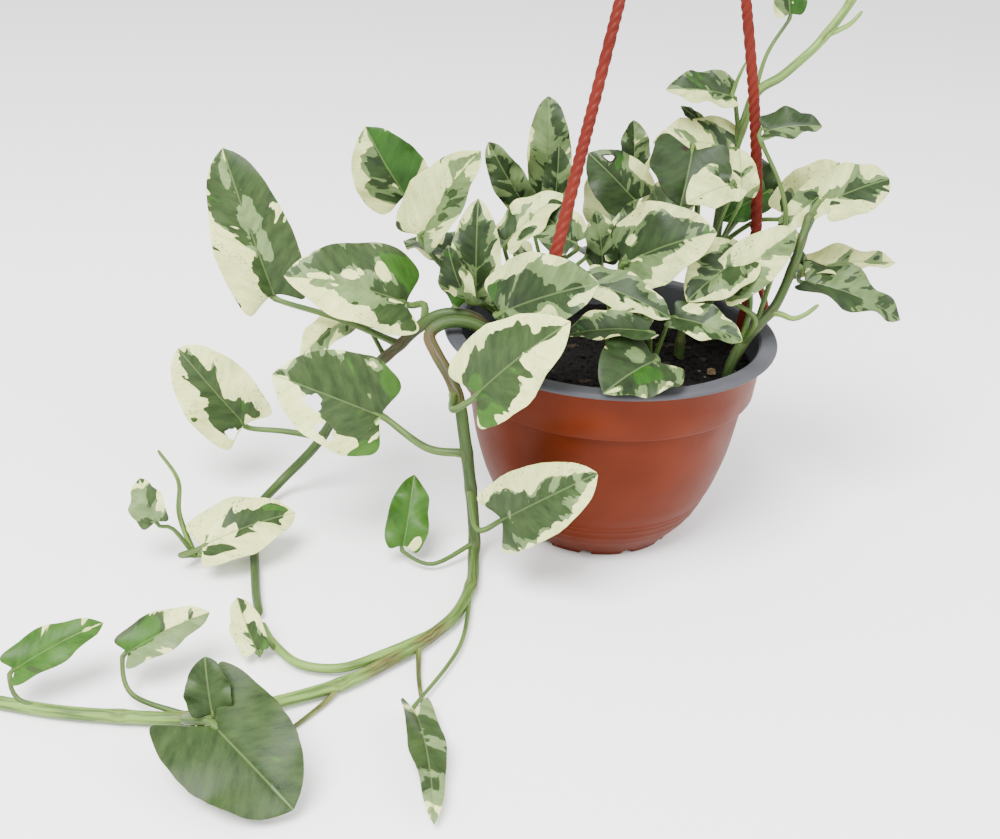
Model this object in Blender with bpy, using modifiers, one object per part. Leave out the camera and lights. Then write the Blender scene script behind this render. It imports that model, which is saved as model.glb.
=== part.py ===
"""A variegated pothos in a two-colour hanging-basket pot that stands on a surface.

The pot stands on z = 0 with its axis on the origin.  Every size below is in
millimetres and is turned to metres where a mesh is made.
"""
from collections import namedtuple
from math import cos, exp, pi, radians, sin

import bmesh
import bpy
import numpy as np
from mathutils import Vector

MM = 0.001
GAP = 0.3                      # free space between pieces that seat on each other

# Pot: a moulded bowl with a rolled lip, a collar and three fine ridges.
POT_HEIGHT = 131.0
RIM_RADIUS = 100.0
LIP_DEPTH = 3.2
MOUTH_RADIUS = 90.0
WALL = 2.0
FLOOR_THICKNESS = 2.5
COLLAR_BOTTOM = 98.0
TURN_STEPS = 32
# Outer radius of the bowl under the collar, from the collar down to the base.
BOWL = ((COLLAR_BOTTOM - 0.5, 84.6), (80, 82.2), (60, 78.6), (40, 72.8),
        (30, 68.5), (18, 62.8), (8, 55.2), (3, 50.9), (0, 49.2))
DRAIN_COUNT = 12
DRAIN_RADIUS = 3.6
DRAIN_TOP = 3.4
DRAIN_TURN = 0.7               # share of a step by which the first drain is turned

# Soil: peat that fills the pot to a little under the lip.
SOIL_TOP = 112.0
SOIL_RINGS = (38, 74)
SOIL_HOLE_DEPTH = 18.0
HOLE_CLEARANCE = 0.5

# Hanger: three moulded strands that clip on the lip, and a hook that joins them.
# Where each strand stands round the rim, in degrees, and how far it bows outwards.
STRANDS = dict(strand_front=(239.5, 0.0), strand_right=(16.5, 6.0), strand_rear=(109.0, 0.0))
STRAND_RADII = (3.4, 2.4)      # at the foot and at the hub
STRAND_FOOT = (-7.5, 24.0)     # out from the rim and over the lip
# A strand's foot is a fork over the lip: inside the mouth a flat leg, each of its
# sections out from the mouth, over the lip and half as wide as given, and outside it
# a round prong, each point out from the rim and over the lip.
LEG = ((2.0, 28.0, 2.6), (-1.8, 6.0, 5.0), (-3.4, -12.5, 6.0))
LEG_HALF_THICKNESS = 1.2
PRONG = ((-7.5, 26.0), (-1.0, 14.0), (2.6, 4.0), (2.8, -6.0), (0.4, -11.5), (-3.4, -10.5))
PRONG_RADII = (2.2, 1.8)
HUB = Vector((20.5, 3.0, 476.0))
HUB_RADIUS = 12.0
HUB_THICKNESS = 9.0
HUB_SEAT_RADIUS = 7.2
HOOK_RADIUS = 3.0
HOOK_BEND_RADIUS = 15.0
SHANK_HEIGHT = 16.0            # from the top of the hub to the lowest point of the bend

# Plant.
BLADE_THICKNESS = 0.8
BLADE_STATIONS = 6             # cells from the base of a blade to its tip
NARROW_BLADE = 27.0            # a blade narrower than this has half as many cells across
STEM_SIDES = 6
STEM_STEP = 18
PETIOLE_SIDES = 4

MATERIALS = dict(
    pot_plastic=((0.27, 0.055, 0.03), 0.45),
    peat=((0.012, 0.009, 0.007), 0.95),
    hanger_plastic=((0.40, 0.07, 0.045), 0.4),
    pothos_leaf=((0.12, 0.25, 0.09), 0.45),
)

Leaf = namedtuple("Leaf", "joint base tip width face fold arch wave lobe blunt via",
                  defaults=(12, 0.08, 1.6, 0.2, 0.62, None))
Stem = namedtuple("Stem", "path radius leaves twigs", defaults=((),))

# Each stem is a path from inside the soil to its growing tip.  Each leaf has the
# joint its petiole leaves the stem at, the two ends of its midrib, its width, and
# the way its upper side faces.  A twig is a side shoot or an air root: a path and
# the radius at its start and end.
VINE_LEFT = Stem(
    path=((-70, 2, 94), (-70, 2, 104), (-70, 2, 116), (-79, -3, 132), (-92, -7, 137.5),
          (-105, -8, 135.5), (-116, -6, 126), (-128, -2, 112), (-145, 4, 93), (-162, 8, 69),
          (-181, 10, 36), (-203, 4, 12), (-214, -22, 6), (-212, -52, 5), (-206, -74, 5),
          (-201, -98, 4.6), (-197, -116, 4.4), (-192, -134, 4.2)),
    radius=(3.7, 2.5),
    leaves=(
        Leaf((-112, -7, 129), (-123, 2, 139), (-192, -22, 162), 58, (-.1, -.9, 1),
             via=(-112, -2, 140)),
        Leaf((-126, -3, 114), (-208, 30, 130), (-238, 42, 218), 50, (.1, -1, .35),
             blunt=.5, via=(-164, 14, 122)),
        Leaf((-136, 1, 104), (-158, 28, 121), (-191, 18, 93), 24, (-.2, -.8, .8)),
        Leaf((-176, 10, 42), (-227, 15, 46), (-268, 20, 95), 48, (-.1, -1, .7),
             blunt=.45, via=(-202, 16, 42)),
        Leaf((-240, -78, 6), (-234, -86, 16), (-184, -56, 24), 40, (0, -.7, 1),
             via=(-246, -88, 11)),
        Leaf((-241, -78, 6), (-260, -83, 30), (-271, -72, 52), 22, (-.2, -1, .5)),
    ),
    twigs=(
        (((-207, -68, 5), (-224, -77, 5), (-243, -78, 6)), 2.4, 2.0),
        (((-241, -78, 6), (-250, -70, 28), (-252, -60, 45), (-264, -55, 62)), 1.9, 1.0),
    ),
)
VINE_FRONT = Stem(
    path=((-62, -20, 94), (-62, -20, 104), (-62, -20, 116), (-73, -22, 132),
          (-86, -23, 138.5), (-99, -25, 138), (-107, -29, 132), (-102, -38, 124),
          (-93, -48, 113), (-87, -56, 100), (-84, -60, 84), (-81, -58, 62), (-78, -54, 34),
          (-76, -56, 12), (-76, -66, 5.4), (-76, -95, 5), (-84, -128, 5), (-102, -156, 5),
          (-120, -176, 5), (-140, -194, 5), (-175, -213, 5), (-209, -225, 5),
          (-243, -226, 5), (-275, -224, 4.6), (-312, -217, 4)),
    radius=(3.7, 3.3),
    leaves=(
        Leaf((-91, -54, 106), (-77, -94, 125), (-30, -112, 177), 50, (-.4, -1, .6),
             via=(-90, -78, 108)),
        Leaf((-83, -59, 71), (-134, -45, 86), (-196, -48, 111), 60, (0, -1, .6),
             via=(-106, -54, 71)),
        Leaf((-80, -55, 46), (-60, -84, 42), (-10, -112, 90), 44, (.1, -1, .7),
             blunt=.45, via=(-74, -82, 34)),
        Leaf((-76, -58, 10), (-118, -68, 12), (-114, -42, 46), 26, (.2, -1, .5),
             via=(-100, -76, 5)),
        Leaf((-76, -98, 5), (-100, -213, 6), (-85, -290, 5), 19, (.3, -.1, 1),
             via=(-80, -155, 4)),
        Leaf((-207, -224, 6), (-191, -252, 24), (-148, -288, 8), 56, (-.1, -.6, 1),
             lobe=0.5, arch=0.05, blunt=.5, via=(-207, -240, 16)),
        Leaf((-209, -225, 5), (-204, -240, 6), (-193, -270, 5), 20, (-.6, -.4, 1)),
        Leaf((-209, -225, 6), (-247, -194, 19), (-209, -174, 32), 24, (0, -.7, 1),
             via=(-240, -214, 9)),
        Leaf((-243, -226, 5), (-298, -212, 19), (-259, -190, 34), 23, (0, -.7, 1),
             via=(-290, -222, 7)),
        Leaf((-178, -165, 5), (-186, -172, 8), (-201, -145, 22), 18, (-.2, -.8, .9)),
        Leaf((-209, -225, 6), (-192, -247, 26), (-196, -238, 52), 22, (.1, -1, .3),
             lobe=.1, blunt=.5, via=(-205, -236, 14)),
    ),
    twigs=(
        (((-102, -156, 5), (-100, -182, 2.6), (-96, -206, 1.6)), 1.6, 1.0),
        (((-140, -194, 5), (-146, -206, 2.4), (-166, -236, 1.6)), 1.6, 1.0),
        (((-98, -150, 6), (-120, -168, 6), (-141, -180, 5), (-163, -178, 5),
          (-180, -160, 5), (-189, -143, 4.4)), 2.8, 2.2),
    ),
)
STEM_RIGHT = Stem(
    path=((70, -24, 94), (70, -24, 104), (70, -24, 116), (75, -21, 128), (84, -17, 141),
          (95, -10, 152), (103, -4, 172), (108, 2, 190), (112, 8, 204)),
    radius=(3.4, 2.6),
    leaves=(
        Leaf((112, 8, 202), (120, 12, 209), (159, 24, 222), 34, (-.2, -1, .8), blunt=.5),
        Leaf((104, -3, 174), (115, 30, 161), (172, 26, 170), 22, (.1, -.6, 1)),
        Leaf((104, -3, 174), (116, 14, 160), (173, 0, 143), 33, (.1, -.5, 1)),
        Leaf((76, -20, 130), (60, -26, 167), (103, -2, 197), 30, (-.2, -1, .5),
             via=(80, -30, 152)),
        Leaf((75, -21, 128), (70, -14, 182), (39, -38, 163), 36, (-.3, -1, .8),
             via=(78, -22, 158)),
        Leaf((84, -17, 141), (79, 8, 250), (110, 2, 256), 26, (0, -.5, 1),
             via=(97, 4, 203)),
        Leaf((108, 2, 188), (129, 22, 221), (94, 8, 193), 22, (-.2, -1, .3)),
        Leaf((103, -4, 172), (112, 22, 163), (106, 28, 190), 14, (.8, -.6, .2)),
    ),
    twigs=(
        (((92, -13, 149), (99, -12, 148), (106, -13, 146), (113, -13, 149), (120, -12, 155)),
         2.0, 1.2),
    ),
)
STEM_TALL = Stem(
    path=((62, 40, 94), (62, 40, 106), (62, 40, 118), (64, 43, 160), (67, 47, 210),
          (74, 48, 246), (80, 50, 264), (93, 52, 273), (104, 54, 283),
          (113, 56, 292), (124, 59, 307), (130, 61, 317), (136, 63, 329)),
    radius=(3.4, 2.5),
    leaves=(
        Leaf((66, 46, 200), (69, 42, 231), (20, 38, 234), 36, (0, -.7, 1), blunt=.6),
        Leaf((71, 48, 242), (64, 44, 262), (25, 40, 265), 26, (0, -.8, 1), blunt=.55),
        Leaf((78, 50, 260), (95, 60, 308), (90, 62, 330), 20, (0, -1, .4),
             via=(84, 56, 285)),
        Leaf((65, 45, 168), (102, 30, 196), (134, 46, 225), 30, (-.3, -1, .6)),
        Leaf((65, 45, 168), (93, 48, 204), (67, 44, 186), 26, (0, -.8, 1)),
        Leaf((65, 45, 168), (95, 56, 196), (83, 60, 224), 22, (0, -1, .4)),
        Leaf((66, 46, 200), (49, 52, 244), (36, 53, 253), 7, (0, -1, .4)),
        Leaf((62, 41, 118), (82, 74, 150), (112, 104, 148), 38, (.3, .3, 1)),
    ),
    twigs=(
        (((117, 57, 297), (124, 58, 300), (131, 59, 304), (137, 60, 311)), 1.8, 1.1),
        (((130, 61, 317), (140, 64, 326), (150, 66, 336)), 1.6, 0.9),
        (((64, 44, 261), (67, 46, 272), (71, 47, 282)), 1.5, 0.8),
    ),
)
CLUMP_LEFT = Stem(
    path=((-58, 14, 94), (-58, 15, 125)),
    radius=(3.8, 3.2),
    leaves=(
        Leaf((-58, 14, 121), (-129, 62, 188), (-154, 62, 230), 48, (-.1, -1, .1),
             via=(-98, 42, 150)),
        Leaf((-58, 14, 121), (-115, 18, 176), (-82, 24, 228), 42, (-.4, -.9, .6),
             fold=24, via=(-90, 16, 146)),
        Leaf((-58, 14, 121), (-81, -6, 148), (-82, 8, 204), 32, (-.1, -1, .3), blunt=.6),
        Leaf((-58, 14, 121), (-86, -12, 148), (-98, -14, 182), 22, (-.5, -1, .2)),
        Leaf((-58, 14, 121), (-64, -4, 182), (-33, 4, 210), 28, (-.3, -.7, 1)),
        Leaf((-58, 14, 121), (-26, -14, 186), (-50, 6, 203), 28, (.2, -1, .3)),
        Leaf((-58, 14, 121), (-66, -72, 164), (-16, -100, 194), 50, (0, -1, .8),
             via=(-68, -34, 148)),
        Leaf((-58, 14, 121), (-96, 34, 158), (-128, 58, 160), 36, (-.4, .1, 1)),
    ),
)
CLUMP_REAR = Stem(
    path=((-34, 48, 94), (-34, 48, 125)),
    radius=(3.8, 3.2),
    leaves=(
        Leaf((-34, 48, 121), (-55, 50, 190), (-78, 46, 228), 22, (-.4, -1, .6), blunt=.5),
        Leaf((-34, 48, 121), (-39, 60, 196), (-43, 64, 253), 28, (0, -1, .3), blunt=.45),
        Leaf((-34, 48, 121), (-38, 42, 182), (-36, 40, 230), 22, (.3, -1, .3)),
        Leaf((-34, 48, 121), (-58, 84, 144), (-86, 108, 148), 38, (-.2, .5, 1)),
        Leaf((-34, 48, 121), (-12, 90, 145), (-14, 127, 136), 32, (0, .5, 1)),
    ),
)
CLUMP_CENTRE = Stem(
    path=((2, 6, 94), (2, 7, 125)),
    radius=(3.8, 3.2),
    leaves=(
        Leaf((2, 6, 121), (12, 30, 200), (-18, 38, 226), 36, (.2, -1, .3)),
        Leaf((2, 6, 121), (12, 62, 208), (10, 68, 240), 20, (.2, -1, .2), blunt=.5),
        Leaf((2, 6, 121), (5, -10, 174), (53, -28, 201), 56, (-.1, -.9, 1)),
        Leaf((2, 6, 121), (-7, 8, 168), (-13, 14, 198), 22, (.3, -1, .2)),
        Leaf((2, 6, 121), (4, 8, 170), (13, 22, 204), 24, (-.2, -1, .3)),
    ),
)
CLUMP_FRONT = Stem(
    path=((22, -38, 94), (22, -38, 125)),
    radius=(3.4, 2.8),
    leaves=(
        Leaf((22, -38, 121), (-17, -40, 172), (28, -58, 160), 26, (-.1, -.6, 1)),
        Leaf((22, -38, 121), (16, -64, 154), (-31, -70, 152), 26, (0, -.5, 1), fold=26),
        Leaf((22, -38, 121), (20, -74, 141), (-10, -109, 136), 46, (0, -.7, 1)),
        Leaf((22, -38, 121), (32, -46, 156), (68, -64, 151), 24, (0, -.7, 1)),
    ),
)
CLUMP_RIGHT = Stem(
    path=((44, 4, 94), (44, 5, 125)),
    radius=(3.4, 2.8),
    leaves=(
        Leaf((44, 4, 121), (40, 12, 237), (34, -6, 209), 48, (0, -1, .4), lobe=.3,
             via=(48, 22, 200)),
        Leaf((44, 4, 121), (62, -4, 222), (36, -18, 214), 30, (-.1, -.7, 1)),
        Leaf((44, 4, 121), (70, 4, 214), (66, 8, 240), 20, (0, -1, .3)),
    ),
)
CLUMP_BACK = Stem(
    path=((22, 52, 94), (22, 53, 125)),
    radius=(3.4, 2.8),
    leaves=(
        Leaf((22, 52, 121), (32, 90, 148), (40, 130, 142), 38, (.1, .4, 1)),
        Leaf((22, 52, 121), (30, 70, 172), (52, 84, 204), 34, (.3, .8, .4)),
        Leaf((22, 52, 121), (4, 84, 168), (-12, 102, 196), 34, (-.2, .9, .5)),
    ),
)
STEMS = dict(
    vine_left=VINE_LEFT, vine_front=VINE_FRONT, stem_right=STEM_RIGHT, stem_tall=STEM_TALL,
    clump_left=CLUMP_LEFT, clump_rear=CLUMP_REAR, clump_centre=CLUMP_CENTRE,
    clump_front=CLUMP_FRONT, clump_right=CLUMP_RIGHT, clump_back=CLUMP_BACK)


# ---------------------------------------------------------------- helpers
def clear_scene():
    for obj in list(bpy.data.objects):
        bpy.data.objects.remove(obj, do_unlink=True)


def new_collection(name):
    coll = bpy.data.collections.new(name)
    bpy.context.scene.collection.children.link(coll)
    return coll


def make_material(name):
    colour, roughness = MATERIALS[name]
    mat = bpy.data.materials.get(name) or bpy.data.materials.new(name)
    mat.use_nodes = True
    shader = mat.node_tree.nodes["Principled BSDF"]
    shader.inputs["Base Color"].default_value = (*colour, 1.0)
    shader.inputs["Roughness"].default_value = roughness
    shader.inputs["Metallic"].default_value = 0.0
    return mat


def add_object(name, mesh, coll, material=None):
    obj = bpy.data.objects.new(name, mesh)
    coll.objects.link(obj)
    if material:
        mesh.materials.clear()
        mesh.materials.append(make_material(material))
    return obj


def bake(obj):
    """Replace an object's mesh with what its modifiers make of it."""
    deps = bpy.context.evaluated_depsgraph_get()
    mesh = bpy.data.meshes.new_from_object(obj.evaluated_get(deps))
    obj.modifiers.clear()
    obj.data = mesh


def round_shading(obj, angle=40):
    obj.data.shade_smooth()
    obj.data.set_sharp_from_angle(angle=radians(angle))


def smooth_path(points, step):
    """Points about step apart along a Catmull-Rom curve through the given points."""
    pts = [Vector(p) for p in points]
    pts = [2 * pts[0] - pts[1]] + pts + [2 * pts[-1] - pts[-2]]
    path = [pts[1]]
    for a, b, c, d in zip(pts, pts[1:], pts[2:], pts[3:]):
        count = max(1, round((c - b).length / step))
        for i in range(1, count + 1):
            t = i / count
            path.append(0.5 * (2 * b + t * (c - a) + t * t * (2 * a - 5 * b + 4 * c - d)
                               + t ** 3 * (3 * b - a - 3 * c + d)))
    return path


def tube(name, path, start_radius, end_radius, sides, coll):
    """A closed round tube along a path; its radius runs evenly from end to end."""
    curve = bpy.data.curves.new(name, "CURVE")
    curve.dimensions = "3D"
    curve.bevel_depth = MM
    curve.bevel_resolution = (sides - 4) // 2
    curve.use_fill_caps = True
    spline = curve.splines.new("POLY")
    spline.points.add(len(path) - 1)
    for i, p in enumerate(path):
        share = i / (len(path) - 1)
        spline.points[i].co = (*(Vector(p) * MM), 1)
        spline.points[i].radius = start_radius + (end_radius - start_radius) * share
    source = bpy.data.objects.new(name, curve)
    coll.objects.link(source)
    deps = bpy.context.evaluated_depsgraph_get()
    mesh = bpy.data.meshes.new_from_object(source.evaluated_get(deps))
    bpy.data.objects.remove(source)
    bm = bmesh.new()
    bm.from_mesh(mesh)
    bmesh.ops.remove_doubles(bm, verts=bm.verts, dist=0.01 * MM)
    bmesh.ops.recalc_face_normals(bm, faces=bm.faces)
    bm.to_mesh(mesh)
    bm.free()
    return add_object(name, mesh, coll)


def turned(name, profile, coll, material, steps=TURN_STEPS):
    """Spin a profile of (radius, height) points about Z."""
    mesh = bpy.data.meshes.new(name)
    points = [(r * MM, 0, z * MM) for r, z in profile]
    mesh.from_pydata(points, [(i, i + 1) for i in range(len(points) - 1)], [])
    obj = add_object(name, mesh, coll, material)
    screw = obj.modifiers.new("Turn", "SCREW")
    screw.steps = steps
    screw.render_steps = steps
    screw.use_merge_vertices = True
    screw.merge_threshold = 0.0001
    bake(obj)
    return obj


def join_all(obj, pieces):
    """Fuse a collection of pieces into obj with one Boolean union."""
    union = obj.modifiers.new("Join", "BOOLEAN")
    union.operation = "UNION"
    union.operand_type = "COLLECTION"
    union.collection = pieces
    union.solver = "EXACT"
    bake(obj)
    for piece in list(pieces.objects):
        bpy.data.objects.remove(piece, do_unlink=True)
    bpy.data.collections.remove(pieces)


def cut_all(obj, cutters):
    """Cut a collection of cutters out of obj."""
    for cutter in cutters.objects:
        cutter.hide_render = True
        cutter.display_type = "WIRE"
    cut = obj.modifiers.new("Cut", "BOOLEAN")
    cut.operation = "DIFFERENCE"
    cut.operand_type = "COLLECTION"
    cut.collection = cutters
    cut.solver = "EXACT"
    bake(obj)
    for cutter in list(cutters.objects):
        bpy.data.objects.remove(cutter, do_unlink=True)
    bpy.data.collections.remove(cutters)


def cylinder(name, start, end, radius, coll, sides=16):
    """A closed cylinder between two points."""
    return tube(name, [start, end], radius, radius, sides, coll)


# ---------------------------------------------------------------- pot and soil
def pot_profile():
    """Inside floor, inner wall, lip and outer wall, down to the centre of the base."""
    inner = [(r - WALL, z + WALL * 0.4) for z, r in reversed(BOWL[:-3])]
    floor = [(0, FLOOR_THICKNESS), (44, FLOOR_THICKNESS), (50.5, 6.2)]
    lip_bottom = POT_HEIGHT - LIP_DEPTH
    lip = [(MOUTH_RADIUS - 3.6, COLLAR_BOTTOM + 0.6), (MOUTH_RADIUS - 0.4, POT_HEIGHT - 1.4),
           (MOUTH_RADIUS + 0.8, POT_HEIGHT), (RIM_RADIUS - 2.4, POT_HEIGHT),
           (RIM_RADIUS - 0.5, POT_HEIGHT - 1.0), (RIM_RADIUS, POT_HEIGHT - 2.2),
           (RIM_RADIUS - 0.6, lip_bottom), (MOUTH_RADIUS + 2.0, lip_bottom)]
    collar = [(MOUTH_RADIUS - 1.2, COLLAR_BOTTOM)]
    outer = [(r, z) for z, r in BOWL]
    return floor + inner + lip + collar + outer + [(0, 0)]


def make_pot(coll):
    pot = turned("pot", pot_profile(), coll, "pot_plastic")
    cutters = new_collection("drain_cutters")
    for i in range(DRAIN_COUNT):
        angle = 2 * pi * (i + DRAIN_TURN) / DRAIN_COUNT
        out = Vector((cos(angle), sin(angle), 0))
        low = Vector((0, 0, DRAIN_TOP - DRAIN_RADIUS))
        cylinder(f"drain_{i}", out * 40 + low, out * 56 + low, DRAIN_RADIUS, cutters)
    cut_all(pot, cutters)
    round_shading(pot)


def soil_height(x, y):
    """Top of the soil at a place, in millimetres: slow swells with a fine crumble."""
    swell = 0.9 * np.sin(x * 0.07 + 1.0) * np.cos(y * 0.06)
    crumble = 0.5 * np.sin(x * 0.31 + y * 0.17) * np.sin(y * 0.27 - x * 0.11)
    return SOIL_TOP + swell + crumble


def make_soil(coll):
    inner = [(r - WALL - GAP - 0.1, z + WALL * 0.4) for z, r in BOWL[:-3]]
    top = [(0, SOIL_TOP)] + [(r, SOIL_TOP) for r in SOIL_RINGS]
    rim = [(MOUTH_RADIUS - 3, SOIL_TOP - 1), (MOUTH_RADIUS - 4.2, COLLAR_BOTTOM + 1.2)]
    base = [(50, 6.9), (43.6, FLOOR_THICKNESS + GAP), (0, FLOOR_THICKNESS + GAP)]
    soil = turned("soil", top + rim + inner + base, coll, "peat")
    points = np.empty(len(soil.data.vertices) * 3)
    soil.data.vertices.foreach_get("co", points)
    points = points.reshape(-1, 3) / MM
    crown = (points[:, 2] > SOIL_TOP - 0.01) & (np.hypot(points[:, 0], points[:, 1]) < 80)
    points[crown, 2] = soil_height(points[crown, 0], points[crown, 1])
    soil.data.vertices.foreach_set("co", (points * MM).ravel())
    holes = new_collection("hole_cutters")
    for name, stem in STEMS.items():
        x, y, foot = stem.path[0]
        radius = stem.radius[0] + HOLE_CLEARANCE
        cylinder(f"hole_{name}", (x, y, foot - GAP), (x, y, SOIL_TOP + 8), radius, holes, 8)
    cut_all(soil, holes)
    round_shading(soil, 30)


# ---------------------------------------------------------------- hanger
def strand_path(angle, bow):
    """From the fork over the lip up to the underside of the hub."""
    out = Vector((cos(radians(angle)), sin(radians(angle)), 0))
    foot = out * (RIM_RADIUS + STRAND_FOOT[0]) + Vector((0, 0, POT_HEIGHT + STRAND_FOOT[1]))
    seat = HUB + out * HUB_SEAT_RADIUS - Vector((0, 0, GAP))
    knee = seat - Vector((0, 0, 12))
    lean = foot.lerp(knee, 0.5) + out * bow
    return smooth_path([foot, foot.lerp(lean, 0.5) + out * bow / 2, lean, knee, seat], 40)


def make_strand(name, angle, bow, coll):
    out = Vector((cos(radians(angle)), sin(radians(angle)), 0))
    up = Vector((0, 0, 1))
    strand = tube(name, strand_path(angle, bow), *STRAND_RADII, 8, coll)
    strand.data.materials.append(make_material("hanger_plastic"))
    pieces = new_collection(name + "_pieces")
    leg = [out * (MOUTH_RADIUS + far) + up * (POT_HEIGHT + high) for far, high, width in LEG]
    make_paddle(name + "_leg", leg, out, pieces)
    prong = [out * (RIM_RADIUS + far) + up * (POT_HEIGHT + high) for far, high in PRONG]
    tube(name + "_prong", smooth_path(prong, 6), *PRONG_RADII, 6, pieces)
    join_all(strand, pieces)
    round_shading(strand)


def make_paddle(name, centres, out, coll):
    """A flat leg that widens downwards: one box section at each centre."""
    side = Vector((-out.y, out.x, 0))
    bm = bmesh.new()
    rings = []
    for centre, (far, high, half_width) in zip(centres, LEG):
        corners = [centre + side * s * half_width + out * o * LEG_HALF_THICKNESS
                   for s, o in ((-1, -1), (1, -1), (1, 1), (-1, 1))]
        rings.append([bm.verts.new(c * MM) for c in corners])
    for low, high in zip(rings, rings[1:]):
        for i in range(4):
            j = (i + 1) % 4
            bm.faces.new((low[i], low[j], high[j], high[i]))
    bm.faces.new(rings[0])
    bm.faces.new(rings[-1])
    bmesh.ops.recalc_face_normals(bm, faces=bm.faces)
    mesh = bpy.data.meshes.new(name)
    bm.to_mesh(mesh)
    bm.free()
    return add_object(name, mesh, coll)


def make_hook(coll):
    """A round hub that the strands meet, and the hook that rises from it."""
    top = HUB.z + HUB_THICKNESS
    profile = [(0, top), (HUB_RADIUS * 0.55, top), (HUB_RADIUS - 1, HUB.z + 5),
               (HUB_RADIUS, HUB.z + 3), (HUB_RADIUS, HUB.z), (0, HUB.z)]
    hook = turned("hook", profile, coll, "hanger_plastic", steps=16)
    for vertex in hook.data.vertices:
        vertex.co.xy += HUB.xy * MM
    pieces = new_collection("hook_pieces")
    centre = Vector((HUB.x, HUB.y, top + SHANK_HEIGHT + HOOK_BEND_RADIUS))
    shank = [Vector((HUB.x, HUB.y, HUB.z + 4)), Vector((HUB.x, HUB.y, top + 5)),
             Vector((HUB.x - HOOK_BEND_RADIUS * 0.6, HUB.y, top + 10))]
    bend = [centre + HOOK_BEND_RADIUS * Vector((cos(radians(a)), 0, sin(radians(a))))
            for a in range(200, -41, -20)]
    tube("hook_wire", shank + bend, HOOK_RADIUS, HOOK_RADIUS * 0.8, 8, pieces)
    join_all(hook, pieces)
    round_shading(hook)


# ---------------------------------------------------------------- plant
def blade_frame(leaf):
    """Unit vectors of a blade: along its midrib, across it, and out of its upper side."""
    along = (Vector(leaf.tip) - Vector(leaf.base)).normalized()
    face = Vector(leaf.face)
    face = (face - along * face.dot(along)).normalized()
    return along, face.cross(along), face


def edge_point(leaf, u):
    """How far along and how far out the edge lies, u from the petiole round to the tip.

    The edge leaves the petiole backwards round a lobe, is widest near a third of
    the blade and closes at the tip.
    """
    length = (Vector(leaf.tip) - Vector(leaf.base)).length
    back = leaf.lobe * (u / 0.15) * exp(1 - u / 0.15) * (1 - u)
    return length * (u - back), 0.5 * leaf.width * sin(pi * u ** 0.707) ** leaf.blunt


def blade_point(leaf, u, v):
    """A point of the blade, u from base to tip and v from edge to edge (-1 to 1).

    Each point lies the share v of the way from the midrib to edge_point.  The two
    halves fold up along the midrib, the midrib arches and the edges wave.
    """
    along, across, face = blade_frame(leaf)
    length = (Vector(leaf.tip) - Vector(leaf.base)).length
    side = 1 if v > 0 else -1
    edge_along, edge_out = edge_point(leaf, u)
    out = abs(v) * edge_out
    turn = radians(leaf.fold)
    ripple = leaf.wave * v * v * sin(2 * pi * 2.4 * u + (0.9 if v > 0 else 3.4))
    lift = out * sin(turn) + ripple * sin(pi * u) ** 0.5
    lift += leaf.arch * length * 4 * u * (1 - u)
    forward = length * u + abs(v) * (edge_along - length * u)
    return (Vector(leaf.base) + along * forward + across * side * out * cos(turn)
            + face * lift)


def make_blade(name, leaf, coll):
    """A thin closed blade over a grid whose rows close at the petiole and the tip."""
    cells = 2 if leaf.width < NARROW_BLADE else 4
    bm = bmesh.new()
    rows = []
    for i in range(BLADE_STATIONS + 1):
        u = (i / BLADE_STATIONS) ** 1.5
        row = [blade_point(leaf, u, 2 * j / cells - 1) for j in range(cells + 1)]
        rows.append([bm.verts.new(p * MM) for p in row])
    for low, high in zip(rows, rows[1:]):
        for j in range(cells):
            bm.faces.new((low[j], low[j + 1], high[j + 1], high[j]))
    bmesh.ops.triangulate(bm, faces=bm.faces)
    bmesh.ops.remove_doubles(bm, verts=bm.verts, dist=0.05 * MM)
    mesh = bpy.data.meshes.new(name)
    bm.to_mesh(mesh)
    bm.free()
    blade = add_object(name, mesh, coll)
    thick = blade.modifiers.new("Thickness", "SOLIDIFY")
    thick.thickness = BLADE_THICKNESS * MM
    thick.offset = 0
    bake(blade)
    return blade


def petiole_path(leaf):
    """From the joint on the stem, up past a bend, into the blade's midrib."""
    joint, base = Vector(leaf.joint), Vector(leaf.base)
    along = (Vector(leaf.tip) - base).normalized()
    bend = Vector(leaf.via) if leaf.via else joint.lerp(base, 0.55) + Vector((0, 0, 5))
    inside = blade_point(leaf, 0.05, 0)
    knee = base - along * 3 - blade_frame(leaf)[2] * 1.5
    return smooth_path([joint, bend, knee, inside], 30)


def make_leafy_stem(name, stem, coll):
    """One stem with its leaves, side shoots and roots, fused into one solid."""
    body = tube(name, smooth_path(stem.path, STEM_STEP), *stem.radius, STEM_SIDES, coll)
    body.data.materials.append(make_material("pothos_leaf"))
    pieces = new_collection(name + "_pieces")
    for i, leaf in enumerate(stem.leaves):
        make_blade(f"{name}_blade_{i}", leaf, pieces)
        foot_radius = 0.8 + 0.028 * leaf.width
        tube(f"{name}_petiole_{i}", petiole_path(leaf), foot_radius, foot_radius * 0.7,
             PETIOLE_SIDES, pieces)
    for i, (path, start_radius, end_radius) in enumerate(stem.twigs):
        tube(f"{name}_twig_{i}", smooth_path(path, STEM_STEP), start_radius, end_radius,
             PETIOLE_SIDES, pieces)
    join_all(body, pieces)
    round_shading(body)


def main():
    clear_scene()
    coll = new_collection("potted_pothos")
    make_pot(coll)
    make_soil(coll)
    for name, (angle, bow) in STRANDS.items():
        make_strand(name, angle, bow, coll)
    make_hook(coll)
    for name, stem in STEMS.items():
        make_leafy_stem(name, stem, coll)


main()
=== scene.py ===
"""A potted pothos: marbled leaves on trailing stems, a two-colour pot, its soil and hanger.

The leafy stems repeat the design of the solids they stand for, in millimetres, with
finer blades.  Every surface is a grid worked out as whole arrays with numpy.
"""
from collections import namedtuple

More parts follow.
